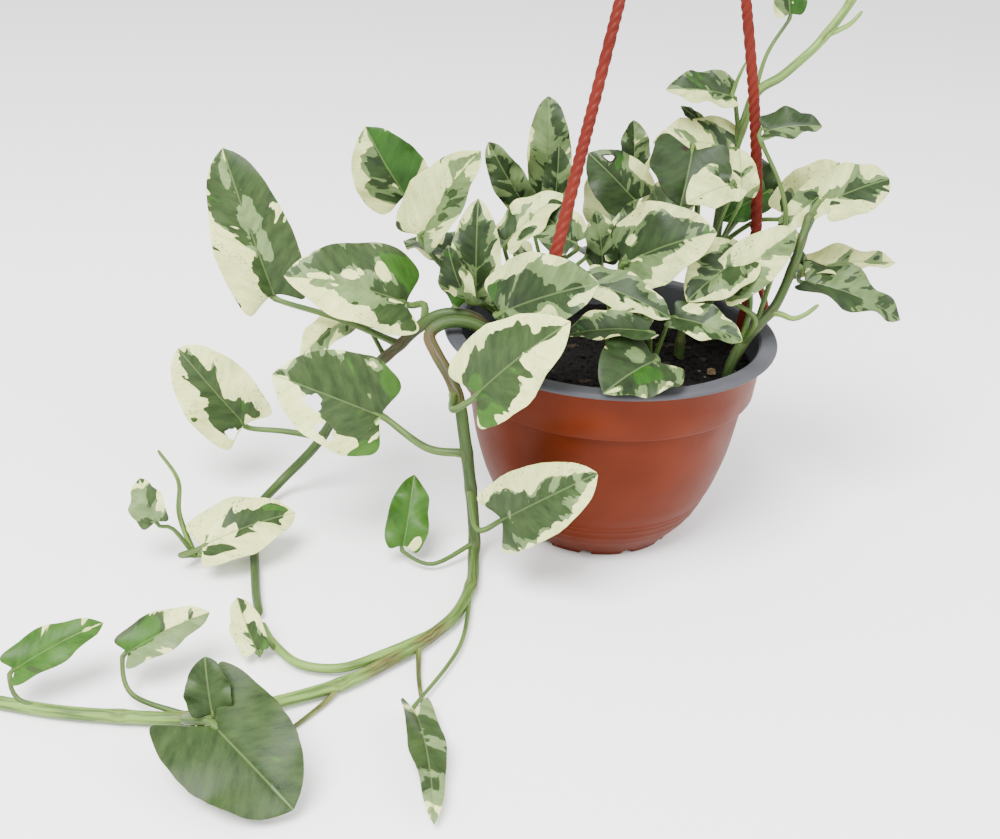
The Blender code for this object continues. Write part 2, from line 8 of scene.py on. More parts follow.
import bpy
import numpy as np
from mathutils import Matrix, Vector


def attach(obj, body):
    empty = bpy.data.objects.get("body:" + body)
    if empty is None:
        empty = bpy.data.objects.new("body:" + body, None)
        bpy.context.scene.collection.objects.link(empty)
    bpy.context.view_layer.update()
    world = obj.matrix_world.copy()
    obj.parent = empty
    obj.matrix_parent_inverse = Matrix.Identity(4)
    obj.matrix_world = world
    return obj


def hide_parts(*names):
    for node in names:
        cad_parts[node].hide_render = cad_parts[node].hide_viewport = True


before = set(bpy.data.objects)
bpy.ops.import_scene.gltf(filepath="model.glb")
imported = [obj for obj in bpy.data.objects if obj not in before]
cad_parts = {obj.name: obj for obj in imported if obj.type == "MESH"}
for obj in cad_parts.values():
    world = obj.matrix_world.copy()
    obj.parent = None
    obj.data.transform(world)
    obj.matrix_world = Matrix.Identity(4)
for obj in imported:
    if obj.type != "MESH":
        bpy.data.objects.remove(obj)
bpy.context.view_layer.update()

MM = 0.001

# Where the camera stands, in metres, its right and up, and its lens in millimetres.
CAMERA_PLACE = (-0.0637, -0.7302, 0.4220)
CAMERA_RIGHT = (0.99902, 0.01946, 0.03982)
CAMERA_UP = (-0.04432, 0.43871, 0.89753)
CAMERA_LENS = 46.8

# Pot: a turned plastic bowl, terracotta outside, grey on the rim and inside.
POT_HEIGHT = 131.0
RIM_RADIUS = 100.0
LIP_DEPTH = 3.2
MOUTH_RADIUS = 90.0
WALL = 2.0
FLOOR_THICKNESS = 2.5
COLLAR_BOTTOM = 98.0
BOWL = ((97.5, 84.6), (80, 82.2), (60, 78.6), (40, 72.8), (30, 68.5), (18, 62.8), (8, 55.2),
        (3, 50.9), (0, 49.2))
RIDGES = ((28.6, 0.4), (25.6, 0.4), (20.0, 0.3), (14.5, 0.22))    # height and rise of each
DRAIN_COUNT = 12
DRAIN_RADIUS = 3.6
DRAIN_HEIGHT = 3.4
DRAIN_TURN = 0.7               # share of a step by which the first drain is turned
SOIL_TOP = 112.0
SOIL_BOTTOM = 2.8
# What lies on the soil, as crumbs, bark chips and pale grains: how many, the smallest and
# the largest, their height as a share of their size, their material and their seed.
LITTER = ((1100, 0.6, 1.9, 0.7, 0, 11), (70, 1.4, 3.4, 0.3, 1, 12), (26, 0.5, 1.1, 0.8, 2, 13))
HUSK_PLACE = (61.0, -19.0)

# Hanger: three moulded rope-like strands, and the hook that they meet in.  Each strand
# has its angle round the rim and how far it bows out.
STRANDS = dict(strand_front=(239.5, 0.0), strand_right=(16.5, 6.0), strand_rear=(109.0, 0.0))
STRAND_RADII = (3.4, 2.4)      # at the foot and at the hub
STRAND_FOOT = (-7.5, 24.0)     # out from the rim and over the lip
ROPE_PLIES = 4
ROPE_STEP = 1.2
ROPE_PITCH = 25.0              # length of one full twist of the plies
HUB = np.array((20.5, 3.0, 476.0))
HUB_RADIUS = 12.0
HUB_THICKNESS = 9.0
HUB_SEAT_RADIUS = 7.2
HOOK_RADIUS = 3.0
HOOK_BEND_RADIUS = 15.0
SHANK_HEIGHT = 16.0            # from the top of the hub to the lowest point of the bend
# A fork's flat leg: each section out from the mouth, over the lip and half as wide as
# given; and its round prong: each point out from the rim and over the lip.
LEG = ((2.0, 28.0, 2.6), (-1.8, 6.0, 5.0), (-3.4, -12.5, 6.0))
PRONG = ((-7.5, 26.0), (-1.0, 14.0), (2.6, 4.0), (2.8, -6.0), (0.4, -11.5), (-3.4, -10.5))

# Blades.
BLADE_THICKNESS = 0.7
BLADE_ROWS = 40
BLADE_COLUMNS = 28
VEIN_SPACING = 6.5
# The four greens and creams of a leaf, each from dark to light: those of the young
# leaves on the vines, and the darker, duller ones of the leaves over the pot, partly
# the older leaves' own colour and partly painted shade, as these leaves sit in shade.
YOUNG = dict(deep=("#16270f", "#3a4e27"), grey=("#4a5f36", "#758a59"),
             cream=("#e0e49c", "#b7c278"), vivid=("#234410", "#3c6321"))
OLD_AND_SHADED = dict(deep=("#0e1a09", "#2b3e1d"), grey=("#3a4c29", "#627748"),
           cream=("#c9cf8c", "#99a564"), vivid=("#173608", "#2a5213"))
MIDRIB = "#66794a"
UNDERSIDE = "#5a6e4c"
BROWN_SPOT = "#20150d"

# What share of a half blade is green, how much of that green is vivid, and how much
# of the pale rest is sage.
CREAM = (0.10, 0.06, 0.25)
MARBLED = (0.50, 0.08, 0.40)
GREEN = (0.88, 0.08, 0.72)
VIVID = (0.98, 0.95, 0.10)
SAGE = (0.62, 0.02, 0.97)
PALE = (0.34, 0.06, 0.72)
DULL = (1.00, 0.02, 0.98)
RICH = (1.00, 0.05, 0.04)
PLAIN = (1.30, 0.00, 0.05)

# What a mark does to the thresholds of green, vivid and sage round its place.
MARKS = dict(cream=(0.8, 0.2, 0.1), green=(-0.8, 0.1, 0.2), vivid=(-0.8, -0.9, 0.2),
             sage=(-0.4, 0.2, -2.0), brown=(0, 0, 0))

Leaf = namedtuple(
    "Leaf", "joint base tip width face left right margin fold arch wave lobe blunt"
    " via holes marks", defaults=(0.0, 12, 0.08, 1.6, 0.2, 0.62, None, (), {}))
Stem = namedtuple("Stem", "path radius leaves twigs sheaths pale_from", defaults=((), (), 2.0))
Skin = namedtuple("Skin", "points faces slots place tone edge")

# Each leaf: the joint its petiole leaves the stem at, the two ends of its midrib, its
# width, the way its upper side faces, the colours of its left and right halves with
# the tip away, and how cream its margin is.  A hole is a place u, v, a radius and how
# dark its rim is.  A mark is a place u, v and how far its colour reaches.
VINE_LEFT = Stem(
    path=((-70, 2, 94), (-70, 2, 104), (-70, 2, 116), (-79, -3, 132), (-92, -7, 137.5),
          (-105, -8, 135.5), (-116, -6, 126), (-128, -2, 112), (-145, 4, 93), (-162, 8, 69),
          (-181, 10, 36), (-203, 4, 12), (-214, -22, 6), (-212, -52, 5), (-206, -74, 5),
          (-201, -98, 4.6), (-197, -116, 4.4), (-192, -134, 4.2)),
    radius=(3.7, 2.5),
    leaves=(
        Leaf((-112, -7, 129), (-123, 2, 139), (-192, -22, 162), 58, (-.1, -.9, 1), MARBLED, GREEN,
             .35, via=(-112, -2, 140), marks=dict(cream=((.8, .6, .22), (.5, .8, .14),
             (.55, -.2, .1), (.3, -.42, .1), (.75, -.1, .08)), green=((.2, .55, .17),
             (.7, -.6, .2)), vivid=((.12, -.7, .22),), sage=((.45, .15, .15), (.75, .15, .12)))),
        Leaf((-126, -3, 114), (-208, 30, 130), (-238, 42, 218), 50, (.1, -1, .35), MARBLED, RICH,
             .2, blunt=.5, via=(-164, 14, 122), marks=dict(cream=((.28, .7, .2), (.1, .5, .1),
             (.97, .1, .07)), green=((.72, .4, .25), (.15, .1, .1), (.2, .98, .06)),
             sage=((.6, -.15, .16), (.35, -.2, .12), (.85, .3, .12)))),
        Leaf((-136, 1, 104), (-158, 28, 121), (-191, 18, 93), 24, (-.2, -.8, .8), SAGE, CREAM, .3,
             marks=dict(green=((.5, .1, .14),))),
        Leaf((-176, 10, 42), (-227, 15, 46), (-268, 20, 95), 48, (-.1, -1, .7), CREAM, CREAM, .7,
             blunt=.45, via=(-202, 16, 42), holes=((.1, .52, 4.2, 0),),
             marks=dict(green=((.2, .1, .17), (.5, .1, .2), (.75, .05, .15), (.2, .42, .12),
             (.12, -.5, .12)), vivid=((.08, .98, .16), (.5, .85, .1)))),
        Leaf((-240, -78, 6), (-234, -86, 16), (-184, -56, 24), 40, (0, -.7, 1), CREAM, CREAM, .3,
             via=(-246, -88, 11), marks=dict(green=((.45, .3, .13), (.72, .3, .2),
             (.14, -.55, .15), (.38, -.2, .08)), vivid=((.8, .5, .12),), sage=((.12, .4, .15),))),
        Leaf((-241, -78, 6), (-260, -83, 30), (-271, -72, 52), 22, (-.2, -1, .5), GREEN, GREEN, .2,
             marks=dict(cream=((.97, 0, .1),), sage=((.5, .6, .2),))),
    ),
    twigs=(
        (((-207, -68, 5), (-224, -77, 5), (-243, -78, 6)), 2.4, 2.0),
        (((-241, -78, 6), (-250, -70, 28), (-252, -60, 45), (-264, -55, 62)), 1.9, 1.0),
    ),
    sheaths=(0.1, 0.28, 0.8),
)
VINE_FRONT = Stem(
    path=((-62, -20, 94), (-62, -20, 104), (-62, -20, 116), (-73, -22, 132), (-86, -23, 138.5),
          (-99, -25, 138), (-107, -29, 132), (-102, -38, 124), (-93, -48, 113), (-87, -56, 100),
          (-84, -60, 84), (-81, -58, 62), (-78, -54, 34), (-76, -56, 12), (-76, -66, 5.4),
          (-76, -95, 5), (-84, -128, 5), (-102, -156, 5), (-120, -176, 5), (-140, -194, 5),
          (-175, -213, 5), (-209, -225, 5), (-243, -226, 5), (-275, -224, 4.6), (-312, -217, 4)),
    radius=(3.7, 3.3),
    leaves=(
        Leaf((-91, -54, 106), (-77, -94, 125), (-30, -112, 177), 50, (-.4, -1, .6), CREAM, CREAM,
             .5, via=(-90, -78, 108), marks=dict(green=((.5, .4, .26), (.22, .1, .2),
             (.3, -.4, .18), (.82, .05, .13)), vivid=((.1, -.85, .3), (.02, .3, .14)))),
        Leaf((-83, -59, 71), (-134, -45, 86), (-196, -48, 111), 60, (0, -1, .6), MARBLED, GREEN,
             .5, via=(-106, -54, 71), holes=((.6, .26, 5.4, 0), (.45, .7, 5, 0)),
             marks=dict(cream=((.85, .5, .2), (.55, .85, .2), (.97, 0, .1), (.3, -.85, .08),
             (.3, .75, .06)), green=((.3, .4, .15), (.5, -.3, .25)), vivid=((.05, -.9, .3),
             (.12, 1, .22)))),
        Leaf((-80, -55, 46), (-60, -84, 42), (-10, -112, 90), 44, (.1, -1, .7), GREEN, GREEN, .9,
             blunt=.45, via=(-74, -82, 34), marks=dict(cream=((.5, .85, .22), (.8, .7, .2),
             (.95, -.7, .12)), green=((.1, .45, .1), (.4, -.4, .2), (.3, .3, .09)))),
        Leaf((-76, -58, 10), (-118, -68, 12), (-114, -42, 46), 26, (.2, -1, .5), VIVID, VIVID, .1,
             wave=3.4, via=(-100, -76, 5), marks=dict(cream=((.12, -.6, .14),),
             sage=((.5, .35, .25),))),
        Leaf((-76, -98, 5), (-100, -213, 6), (-85, -290, 5), 19, (.3, -.1, 1), GREEN, GREEN, .1,
             via=(-80, -155, 4), marks=dict(cream=((.04, 0, .13),), sage=((.78, .8, .1),))),
        Leaf((-207, -224, 6), (-191, -252, 24), (-148, -288, 8), 56, (-.1, -.6, 1), PLAIN, PLAIN,
             0, arch=.05, lobe=.5, blunt=.5, via=(-207, -240, 16)),
        Leaf((-209, -225, 5), (-204, -240, 6), (-193, -270, 5), 20, (-.6, -.4, 1), CREAM, CREAM,
             .2, marks=dict(vivid=((.1, .8, .2),))),
        Leaf((-209, -225, 6), (-247, -194, 19), (-209, -174, 32), 24, (0, -.7, 1), CREAM, SAGE, .1,
             via=(-240, -214, 9), marks=dict(vivid=((.15, .4, .34),), sage=((.5, -.8, .35),))),
        Leaf((-243, -226, 5), (-298, -212, 19), (-259, -190, 34), 23, (0, -.7, 1), VIVID, VIVID, 0,
             via=(-290, -222, 7), marks=dict(cream=((.96, 0, .12),))),
        Leaf((-178, -165, 5), (-186, -172, 8), (-201, -145, 22), 18, (-.2, -.8, .9), CREAM,
             MARBLED, .5, marks=dict(vivid=((.1, -.8, .15),))),
        Leaf((-209, -225, 6), (-192, -247, 26), (-196, -238, 52), 22, (.1, -1, .3), PLAIN, PLAIN,
             0, lobe=.1, blunt=.5, via=(-205, -236, 14)),
    ),
    twigs=(
        (((-102, -156, 5), (-100, -182, 2.6), (-96, -206, 1.6)), 1.6, 1.0),
        (((-140, -194, 5), (-146, -206, 2.4), (-166, -236, 1.6)), 1.6, 1.0),
        (((-98, -150, 6), (-120, -168, 6), (-141, -180, 5), (-163, -178, 5), (-180, -160, 5),
          (-189, -143, 4.4)), 2.8, 2.2),
    ),
    sheaths=(0.16, 0.2, 0.57, 0.63, 0.8),
    pale_from=0.5,
)
STEM_RIGHT = Stem(
    path=((70, -24, 94), (70, -24, 104), (70, -24, 116), (75, -21, 128), (84, -17, 141),
          (95, -10, 152), (103, -4, 172), (108, 2, 190), (112, 8, 204)),
    radius=(3.4, 2.6),
    leaves=(
        Leaf((112, 8, 202), (120, 12, 209), (159, 24, 222), 34, (-.2, -1, .8), SAGE, MARBLED, .3,
             blunt=.5, marks=dict(green=((.5, -.1, .2), (.85, -.05, .12)), cream=((.3, -.8, .2),
             (.9, .7, .1)))),
        Leaf((104, -3, 174), (115, 30, 161), (172, 26, 170), 22, (.1, -.6, 1), PALE, PALE, .2,
             wave=2.6, marks=dict(green=((.1, .4, .09),), sage=((.4, -.35, .2), (.8, -.2, .14)))),
        Leaf((104, -3, 174), (116, 14, 160), (173, 0, 143), 33, (.1, -.5, 1), DULL, DULL, 0,
             wave=2.8, marks=dict(cream=((.08, .6, .1),), green=((.4, -.3, .2),))),
        Leaf((76, -20, 130), (60, -26, 167), (103, -2, 197), 30, (-.2, -1, .5), PALE, SAGE, .4,
             via=(80, -30, 152), marks=dict(cream=((.5, .4, .2),), sage=((.6, .1, .12),))),
        Leaf((75, -21, 128), (70, -14, 182), (39, -38, 163), 36, (-.3, -1, .8), GREEN, GREEN, .8,
             via=(78, -22, 158)),
        Leaf((84, -17, 141), (79, 8, 250), (110, 2, 256), 26, (0, -.5, 1), RICH, DULL, 0,
             via=(97, 4, 203)),
        Leaf((108, 2, 188), (129, 22, 221), (94, 8, 193), 22, (-.2, -1, .3), PALE, SAGE, .2,
             marks=dict(vivid=((.92, 0, .14),))),
        Leaf((103, -4, 172), (112, 22, 163), (106, 28, 190), 14, (.8, -.6, .2), GREEN, GREEN, .8),
    ),
    twigs=(
        (((92, -13, 149), (99, -12, 148), (106, -13, 146), (113, -13, 149), (120, -12, 155)), 2.0,
          1.2),
    ),
)
STEM_TALL = Stem(
    path=((62, 40, 94), (62, 40, 106), (62, 40, 118), (64, 43, 160), (67, 47, 210), (74, 48, 246),
          (80, 50, 264), (93, 52, 273), (104, 54, 283), (113, 56, 292), (124, 59, 307),
          (130, 61, 317), (136, 63, 329)),
    radius=(3.4, 2.5),
    leaves=(
        Leaf((66, 46, 200), (69, 42, 231), (20, 38, 234), 36, (0, -.7, 1), PALE, PALE, .5,
             blunt=.6, marks=dict(green=((.08, -.5, .1),), vivid=((.3, .5, .08), (.55, .6, .07),
             (.75, .3, .07)))),
        Leaf((71, 48, 242), (64, 44, 262), (25, 40, 265), 26, (0, -.8, 1), PALE, GREEN, .3,
             blunt=.55, marks=dict(cream=((.6, .5, .2),))),
        Leaf((78, 50, 260), (95, 60, 308), (90, 62, 330), 20, (0, -1, .4), GREEN, VIVID, .1,
             via=(84, 56, 285), marks=dict(cream=((.3, -.2, .1),))),
        Leaf((65, 45, 168), (102, 30, 196), (134, 46, 225), 30, (-.3, -1, .6), PALE, SAGE, .3,
             marks=dict(green=((.06, .2, .14), (.2, .5, .08)), sage=((.4, -.4, .2),),
             cream=((.6, .6, .2),))),
        Leaf((65, 45, 168), (93, 48, 204), (67, 44, 186), 26, (0, -.8, 1), VIVID, VIVID, 0),
        Leaf((65, 45, 168), (95, 56, 196), (83, 60, 224), 22, (0, -1, .4), RICH, RICH, 0),
        Leaf((66, 46, 200), (49, 52, 244), (36, 53, 253), 7, (0, -1, .4), SAGE, SAGE, 0),
        Leaf((62, 41, 118), (82, 74, 150), (112, 104, 148), 38, (.3, .3, 1), GREEN, MARBLED, .6),
    ),
    twigs=(
        (((117, 57, 297), (124, 58, 300), (131, 59, 304), (137, 60, 311)), 1.8, 1.1),
        (((130, 61, 317), (140, 64, 326), (150, 66, 336)), 1.6, 0.9),
        (((64, 44, 261), (67, 46, 272), (71, 47, 282)), 1.5, 0.8),
    ),
    pale_from=0.6,
)
CLUMP_LEFT = Stem(
    path=((-58, 14, 94), (-58, 15, 125)),
    radius=(3.8, 3.2),
    leaves=(
        Leaf((-58, 14, 121), (-129, 62, 188), (-154, 62, 230), 48, (-.1, -1, .1), SAGE, VIVID, .2,
             via=(-98, 42, 150), marks=dict(cream=((.92, .3, .16), (.6, 1, .22), (.2, .95, .16)),
             green=((.5, .3, .2),))),
        Leaf((-58, 14, 121), (-115, 18, 176), (-82, 24, 228), 42, (-.4, -.9, .6), PALE, SAGE, .2,
             fold=24, via=(-90, 16, 146), marks=dict(cream=((.4, .6, .25),),
             sage=((.85, .3, .14),), green=((.1, .9, .1),))),
        Leaf((-58, 14, 121), (-81, -6, 148), (-82, 8, 204), 32, (-.1, -1, .3), GREEN, GREEN, .8,
             blunt=.6, marks=dict(cream=((.93, .6, .12), (.93, -.6, .12)))),
        Leaf((-58, 14, 121), (-86, -12, 148), (-98, -14, 182), 22, (-.5, -1, .2), GREEN, GREEN, .2,
             marks=dict(cream=((.5, -.45, .1), (.3, .5, .07)))),
        Leaf((-58, 14, 121), (-64, -4, 182), (-33, 4, 210), 28, (-.3, -.7, 1), PALE, PALE, .2,
             marks=dict(cream=((.6, -.1, .2),), green=((.15, .5, .2), (.35, -.6, .16)))),
        Leaf((-58, 14, 121), (-26, -14, 186), (-50, 6, 203), 28, (.2, -1, .3), GREEN, GREEN, .1),
        Leaf((-58, 14, 121), (-66, -72, 164), (-16, -100, 194), 50, (0, -1, .8), GREEN, GREEN, .8,
             via=(-68, -34, 148), marks=dict(cream=((.5, -.5, .12), (.85, -.5, .12), (.3, .9, .1)),
             vivid=((.06, .7, .14),), sage=((.75, .5, .2),), green=((.25, -.75, .14),
             (.4, .2, .2)))),
        Leaf((-58, 14, 121), (-96, 34, 158), (-128, 58, 160), 36, (-.4, .1, 1), GREEN, MARBLED,
             .5),
    ),
)
CLUMP_REAR = Stem(
    path=((-34, 48, 94), (-34, 48, 125)),
    radius=(3.8, 3.2),
    leaves=(
        Leaf((-34, 48, 121), (-55, 50, 190), (-78, 46, 228), 22, (-.4, -1, .6), DULL, DULL, .2,
             blunt=.5, marks=dict(cream=((.92, .5, .1),))),
        Leaf((-34, 48, 121), (-39, 60, 196), (-43, 64, 253), 28, (0, -1, .3), DULL, GREEN, .4,
             blunt=.45, marks=dict(sage=((.7, .3, .2),), cream=((.5, 1, .1),))),
        Leaf((-34, 48, 121), (-38, 42, 182), (-36, 40, 230), 22, (.3, -1, .3), GREEN, GREEN, .2),
        Leaf((-34, 48, 121), (-58, 84, 144), (-86, 108, 148), 38, (-.2, .5, 1), MARBLED, GREEN,
             .7),
        Leaf((-34, 48, 121), (-12, 90, 145), (-14, 127, 136), 32, (0, .5, 1), GREEN, MARBLED, .8),
    ),
)
CLUMP_CENTRE = Stem(
    path=((2, 6, 94), (2, 7, 125)),
    radius=(3.8, 3.2),
    leaves=(
        Leaf((2, 6, 121), (12, 30, 200), (-18, 38, 226), 36, (.2, -1, .3), RICH, GREEN, .2,
             holes=((.74, -.5, 2.6, 1),), marks=dict(cream=((.3, -.8, .14),))),
        Leaf((2, 6, 121), (12, 62, 208), (10, 68, 240), 20, (.2, -1, .2), GREEN, SAGE, 0,
             blunt=.5),
        Leaf((2, 6, 121), (5, -10, 174), (53, -28, 201), 56, (-.1, -.9, 1), GREEN, MARBLED, .6,
             marks=dict(cream=((.35, .95, .15), (.7, .9, .14), (.2, .45, .08), (.6, -.65, .16),
             (.8, -.5, .14)), green=((.4, .3, .2),), sage=((.3, -.4, .2),))),
        Leaf((2, 6, 121), (-7, 8, 168), (-13, 14, 198), 22, (.3, -1, .2), DULL, DULL, .3),
        Leaf((2, 6, 121), (4, 8, 170), (13, 22, 204), 24, (-.2, -1, .3), GREEN, MARBLED, .3),
    ),
)
CLUMP_FRONT = Stem(
    path=((22, -38, 94), (22, -38, 125)),
    radius=(3.4, 2.8),
    leaves=(
        Leaf((22, -38, 121), (-17, -40, 172), (28, -58, 160), 26, (-.1, -.6, 1), DULL, PALE, .7,
             marks=dict(green=((.5, .2, .2),))),
        Leaf((22, -38, 121), (16, -64, 154), (-31, -70, 152), 26, (0, -.5, 1), RICH, GREEN, .8,
             fold=26),
        Leaf((22, -38, 121), (20, -74, 141), (-10, -109, 136), 46, (0, -.7, 1), GREEN, RICH, .4,
             marks=dict(cream=((.9, .3, .12),), vivid=((.4, .3, .15),), sage=((.3, -.3, .15),))),
        Leaf((22, -38, 121), (32, -46, 156), (68, -64, 151), 24, (0, -.7, 1), GREEN, GREEN, .7,
             marks=dict(cream=((.3, .5, .15),))),
    ),
)
CLUMP_RIGHT = Stem(
    path=((44, 4, 94), (44, 5, 125)),
    radius=(3.4, 2.8),
    leaves=(
        Leaf((44, 4, 121), (40, 12, 237), (34, -6, 209), 48, (0, -1, .4), PLAIN, PLAIN, 0, lobe=.3,
             via=(48, 22, 200), marks=dict(brown=((.09, -.28, .06),))),
        Leaf((44, 4, 121), (62, -4, 222), (36, -18, 214), 30, (-.1, -.7, 1), PALE, PALE, .3,
             marks=dict(cream=((.6, 0, .3),), green=((.75, .2, .06),))),
        Leaf((44, 4, 121), (70, 4, 214), (66, 8, 240), 20, (0, -1, .3), PALE, PALE, .2),
    ),
)
CLUMP_BACK = Stem(
    path=((22, 52, 94), (22, 53, 125)),
    radius=(3.4, 2.8),
    leaves=(
        Leaf((22, 52, 121), (32, 90, 148), (40, 130, 142), 38, (.1, .4, 1), GREEN, MARBLED, .8),
        Leaf((22, 52, 121), (30, 70, 172), (52, 84, 204), 34, (.3, .8, .4), MARBLED, GREEN, .5),
        Leaf((22, 52, 121), (4, 84, 168), (-12, 102, 196), 34, (-.2, .9, .5), GREEN, CREAM, .6),
    ),
)
STEMS = dict(
    vine_left=VINE_LEFT, vine_front=VINE_FRONT, stem_right=STEM_RIGHT, stem_tall=STEM_TALL,
    clump_left=CLUMP_LEFT, clump_rear=CLUMP_REAR, clump_centre=CLUMP_CENTRE,
    clump_front=CLUMP_FRONT, clump_right=CLUMP_RIGHT, clump_back=CLUMP_BACK)
VINES = ("vine_left", "vine_front")


# ---------------------------------------------------------------- surfaces
def unit(vectors):
    return vectors / np.linalg.norm(vectors, axis=-1, keepdims=True)


def smooth_path(points, step):
    """A Catmull-Rom curve: in each span a cubic that blends the four nearest points."""
    pts = np.array(points, float)
    pts = np.vstack([2 * pts[0] - pts[1], pts, 2 * pts[-1] - pts[-2]])
    spans = []
    for a, b, c, d in zip(pts, pts[1:], pts[2:], pts[3:]):
        count = max(1, round(np.linalg.norm(c - b) / step))
        t = np.arange(count)[:, None] / count
        spans.append(0.5 * (2 * b + t * (c - a) + t * t * (2 * a - 5 * b + 4 * c - d)
                            + t ** 3 * (3 * b - a - 3 * c + d)))
    return np.vstack(spans + [pts[-2:-1]])


def ripple(a, b, seed):
    """Smooth noise of two coordinates: five sine waves of unlike length and direction."""
    rng = np.random.default_rng(seed)
    total = np.zeros(np.broadcast(a, b).shape)
    for scale in (1.0, 1.7, 2.6, 4.1, 6.3):
        turn, phase = rng.uniform(0, 2 * np.pi, 2)
        total += np.sin(scale * (a * np.cos(turn) + b * np.sin(turn)) + phase) / scale
    return total / 2.2


def grid_quads(rows, columns, closed):
    """Corner numbers of the cells of a grid, joined round its columns if it is closed."""
    i = np.arange(rows - 1)[:, None] * columns
    j = np.arange(columns if closed else columns - 1)[None, :]
    k = (j + 1) % columns
    return np.stack([i + j, i + k, i + columns + k, i + columns + j], -1).reshape(-1, 4)


def frames_along(path, side):
    """Two unit vectors across a path at each point; the first starts nearest to side
    and is carried on without twist by taking off its part along the path."""
    tangents = unit(np.gradient(path, axis=0))
    across = np.empty_like(path)
    for i, tangent in enumerate(tangents):
        side = unit(side - tangent * (side @ tangent))
        across[i] = side
    return across, np.cross(tangents, across)


def rod(path, radius, sides, side=(0.31, 0.83, 0.46), flat=1.0, power=1.0, relief=0.0,
        tone=(0, 0, 0), slot=0, seed=0):
    """A closed rod: at each point of the path a ring of the given radius, cos across
    and sin out, each raised to a power (below 1 squares the ring), the second scaled
    by flat; relief is a share added to the radius over the whole grid."""
    count = len(path)
    angle = np.arange(sides) * 2 * np.pi / sides
    radius = np.broadcast_to(radius, count)[:, None] * (1 + relief * np.ones(sides))
    first, second = frames_along(path, np.array(side, float))
    c, s = (np.sign(w) * np.abs(w) ** power for w in (np.cos(angle), np.sin(angle)))
    thin = np.broadcast_to(flat, count)[:, None]
    rings = path[:, None] + (radius * c)[..., None] * first[:, None]
    rings = rings + (radius * thin * s)[..., None] * second[:, None]
    faces = grid_quads(count, sides, True).tolist()
    faces += [list(range(sides))[::-1], list(range((count - 1) * sides, count * sides))]
    run = np.r_[0, np.cumsum(np.linalg.norm(np.diff(path, axis=0), axis=1))]
    place = np.stack(np.broadcast_arrays(run[:, None] / 10, angle * radius / 10, 7.3 * seed), -1)
    tone = np.broadcast_to(np.atleast_2d(tone)[:, None], rings.shape)
    return Skin(rings.reshape(-1, 3), faces, [slot] * len(faces), place.reshape(-1, 3),
                tone.reshape(-1, 3), np.zeros((count * sides, 3)))


def make_object(name, skins, materials, nodes=(), slot=None, sharp=50):
    """One mesh object from the skins, with their places, tones and edges as attributes;
    it rides on the root and stands for the nodes named."""
    faces, slots, start = [], [], 0
    for skin in skins:
        faces += [[i + start for i in face] for face in skin.faces]
        slots += list(skin.slots)
        start += len(skin.points)
    mesh = bpy.data.meshes.new(name)
    mesh.from_pydata(np.vstack([skin.points for skin in skins]) * MM, [], faces)
    for key in ("place", "tone", "edge"):
        values = np.vstack([getattr(skin, key) for skin in skins])
        mesh.attributes.new(key, "FLOAT_VECTOR", "POINT").data.foreach_set("vector", values.ravel())
    for material in materials:
        mesh.materials.append(material)
    mesh.polygons.foreach_set("material_index", slots)
    mesh.shade_smooth()
    mesh.set_sharp_from_angle(angle=np.radians(sharp))
    obj = bpy.data.objects.new(name, mesh)
    bpy.context.scene.collection.objects.link(obj)
    if slot:
        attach(obj, "root")
    if nodes:
        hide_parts(*nodes)
    return obj


def plain_skin(points, faces, slots):
    """A skin with no pattern of its own."""
    blank = np.zeros((len(points), 3))
    return Skin(points, faces, slots, blank, blank, blank)


# ---------------------------------------------------------------- leaves
def blade_frame(leaf):
    """Unit vectors of a blade: along its midrib, across it, and out of its upper side."""
    along = unit(np.subtract(leaf.tip, leaf.base).astype(float))
    face = np.array(leaf.face, float)
    face = unit(face - along * (face @ along))
    return along, np.cross(face, along), face


def blade_length(leaf):
    return np.linalg.norm(np.subtract(leaf.tip, leaf.base))


def blade_surface(leaf, u, v, seed):
    """Points of a blade over u, petiole to tip, and v, edge to edge.

    The edge runs back round a lobe and out to sin(pi u^0.707)^blunt of the half width,
    a little uneven and drawn in near the tip.  A point lies the share v from the midrib
    to the edge.  The halves fold up, the midrib arches, the edges wave, and the blade
    swells between its side veins and sinks along its midrib.
    """
    along, across, face = blade_frame(leaf)
    length = blade_length(leaf)
    back = leaf.lobe * (u / 0.15) * np.exp(1 - u / 0.15) * (1 - u)
    uneven = 1 + 0.04 * ripple(15 * u, 2.0 * np.sign(v), seed)
    uneven = uneven - 0.25 * np.exp(-((1 - u) / 0.06) ** 2)
    out = 0.5 * leaf.width * np.sin(np.pi * u ** 0.707) ** leaf.blunt * uneven * np.abs(v)
    forward = length * (u - np.abs(v) * back)
    turn = np.radians(leaf.fold)
    body = np.sin(np.pi * u) ** 0.5
    wave = 1.3 * leaf.wave * v * v * np.sin(2 * np.pi * 2.4 * u + np.where(v > 0, 0.9, 3.4))
    wave = wave + 0.4 * leaf.wave * np.abs(v) ** 3 * ripple(16 * u, 3 * v, seed + 1)
    swell = np.abs(np.sin(np.pi * (forward - 0.75 * out) / VEIN_SPACING)) ** 0.6 - 0.6
    lift = out * np.sin(turn) + wave * body + 0.2 * swell * body * np.minimum(out / 3, 1)
    lift = lift - 0.5 * np.exp(-(out / 1.1) ** 2) * body + leaf.arch * length * 4 * u * (1 - u)
    side = np.sign(v) * out * np.cos(turn)
    points = (np.array(leaf.base, float) + forward[..., None] * along + side[..., None] * across
              + lift[..., None] * face)
    return points, forward, np.sign(v) * out


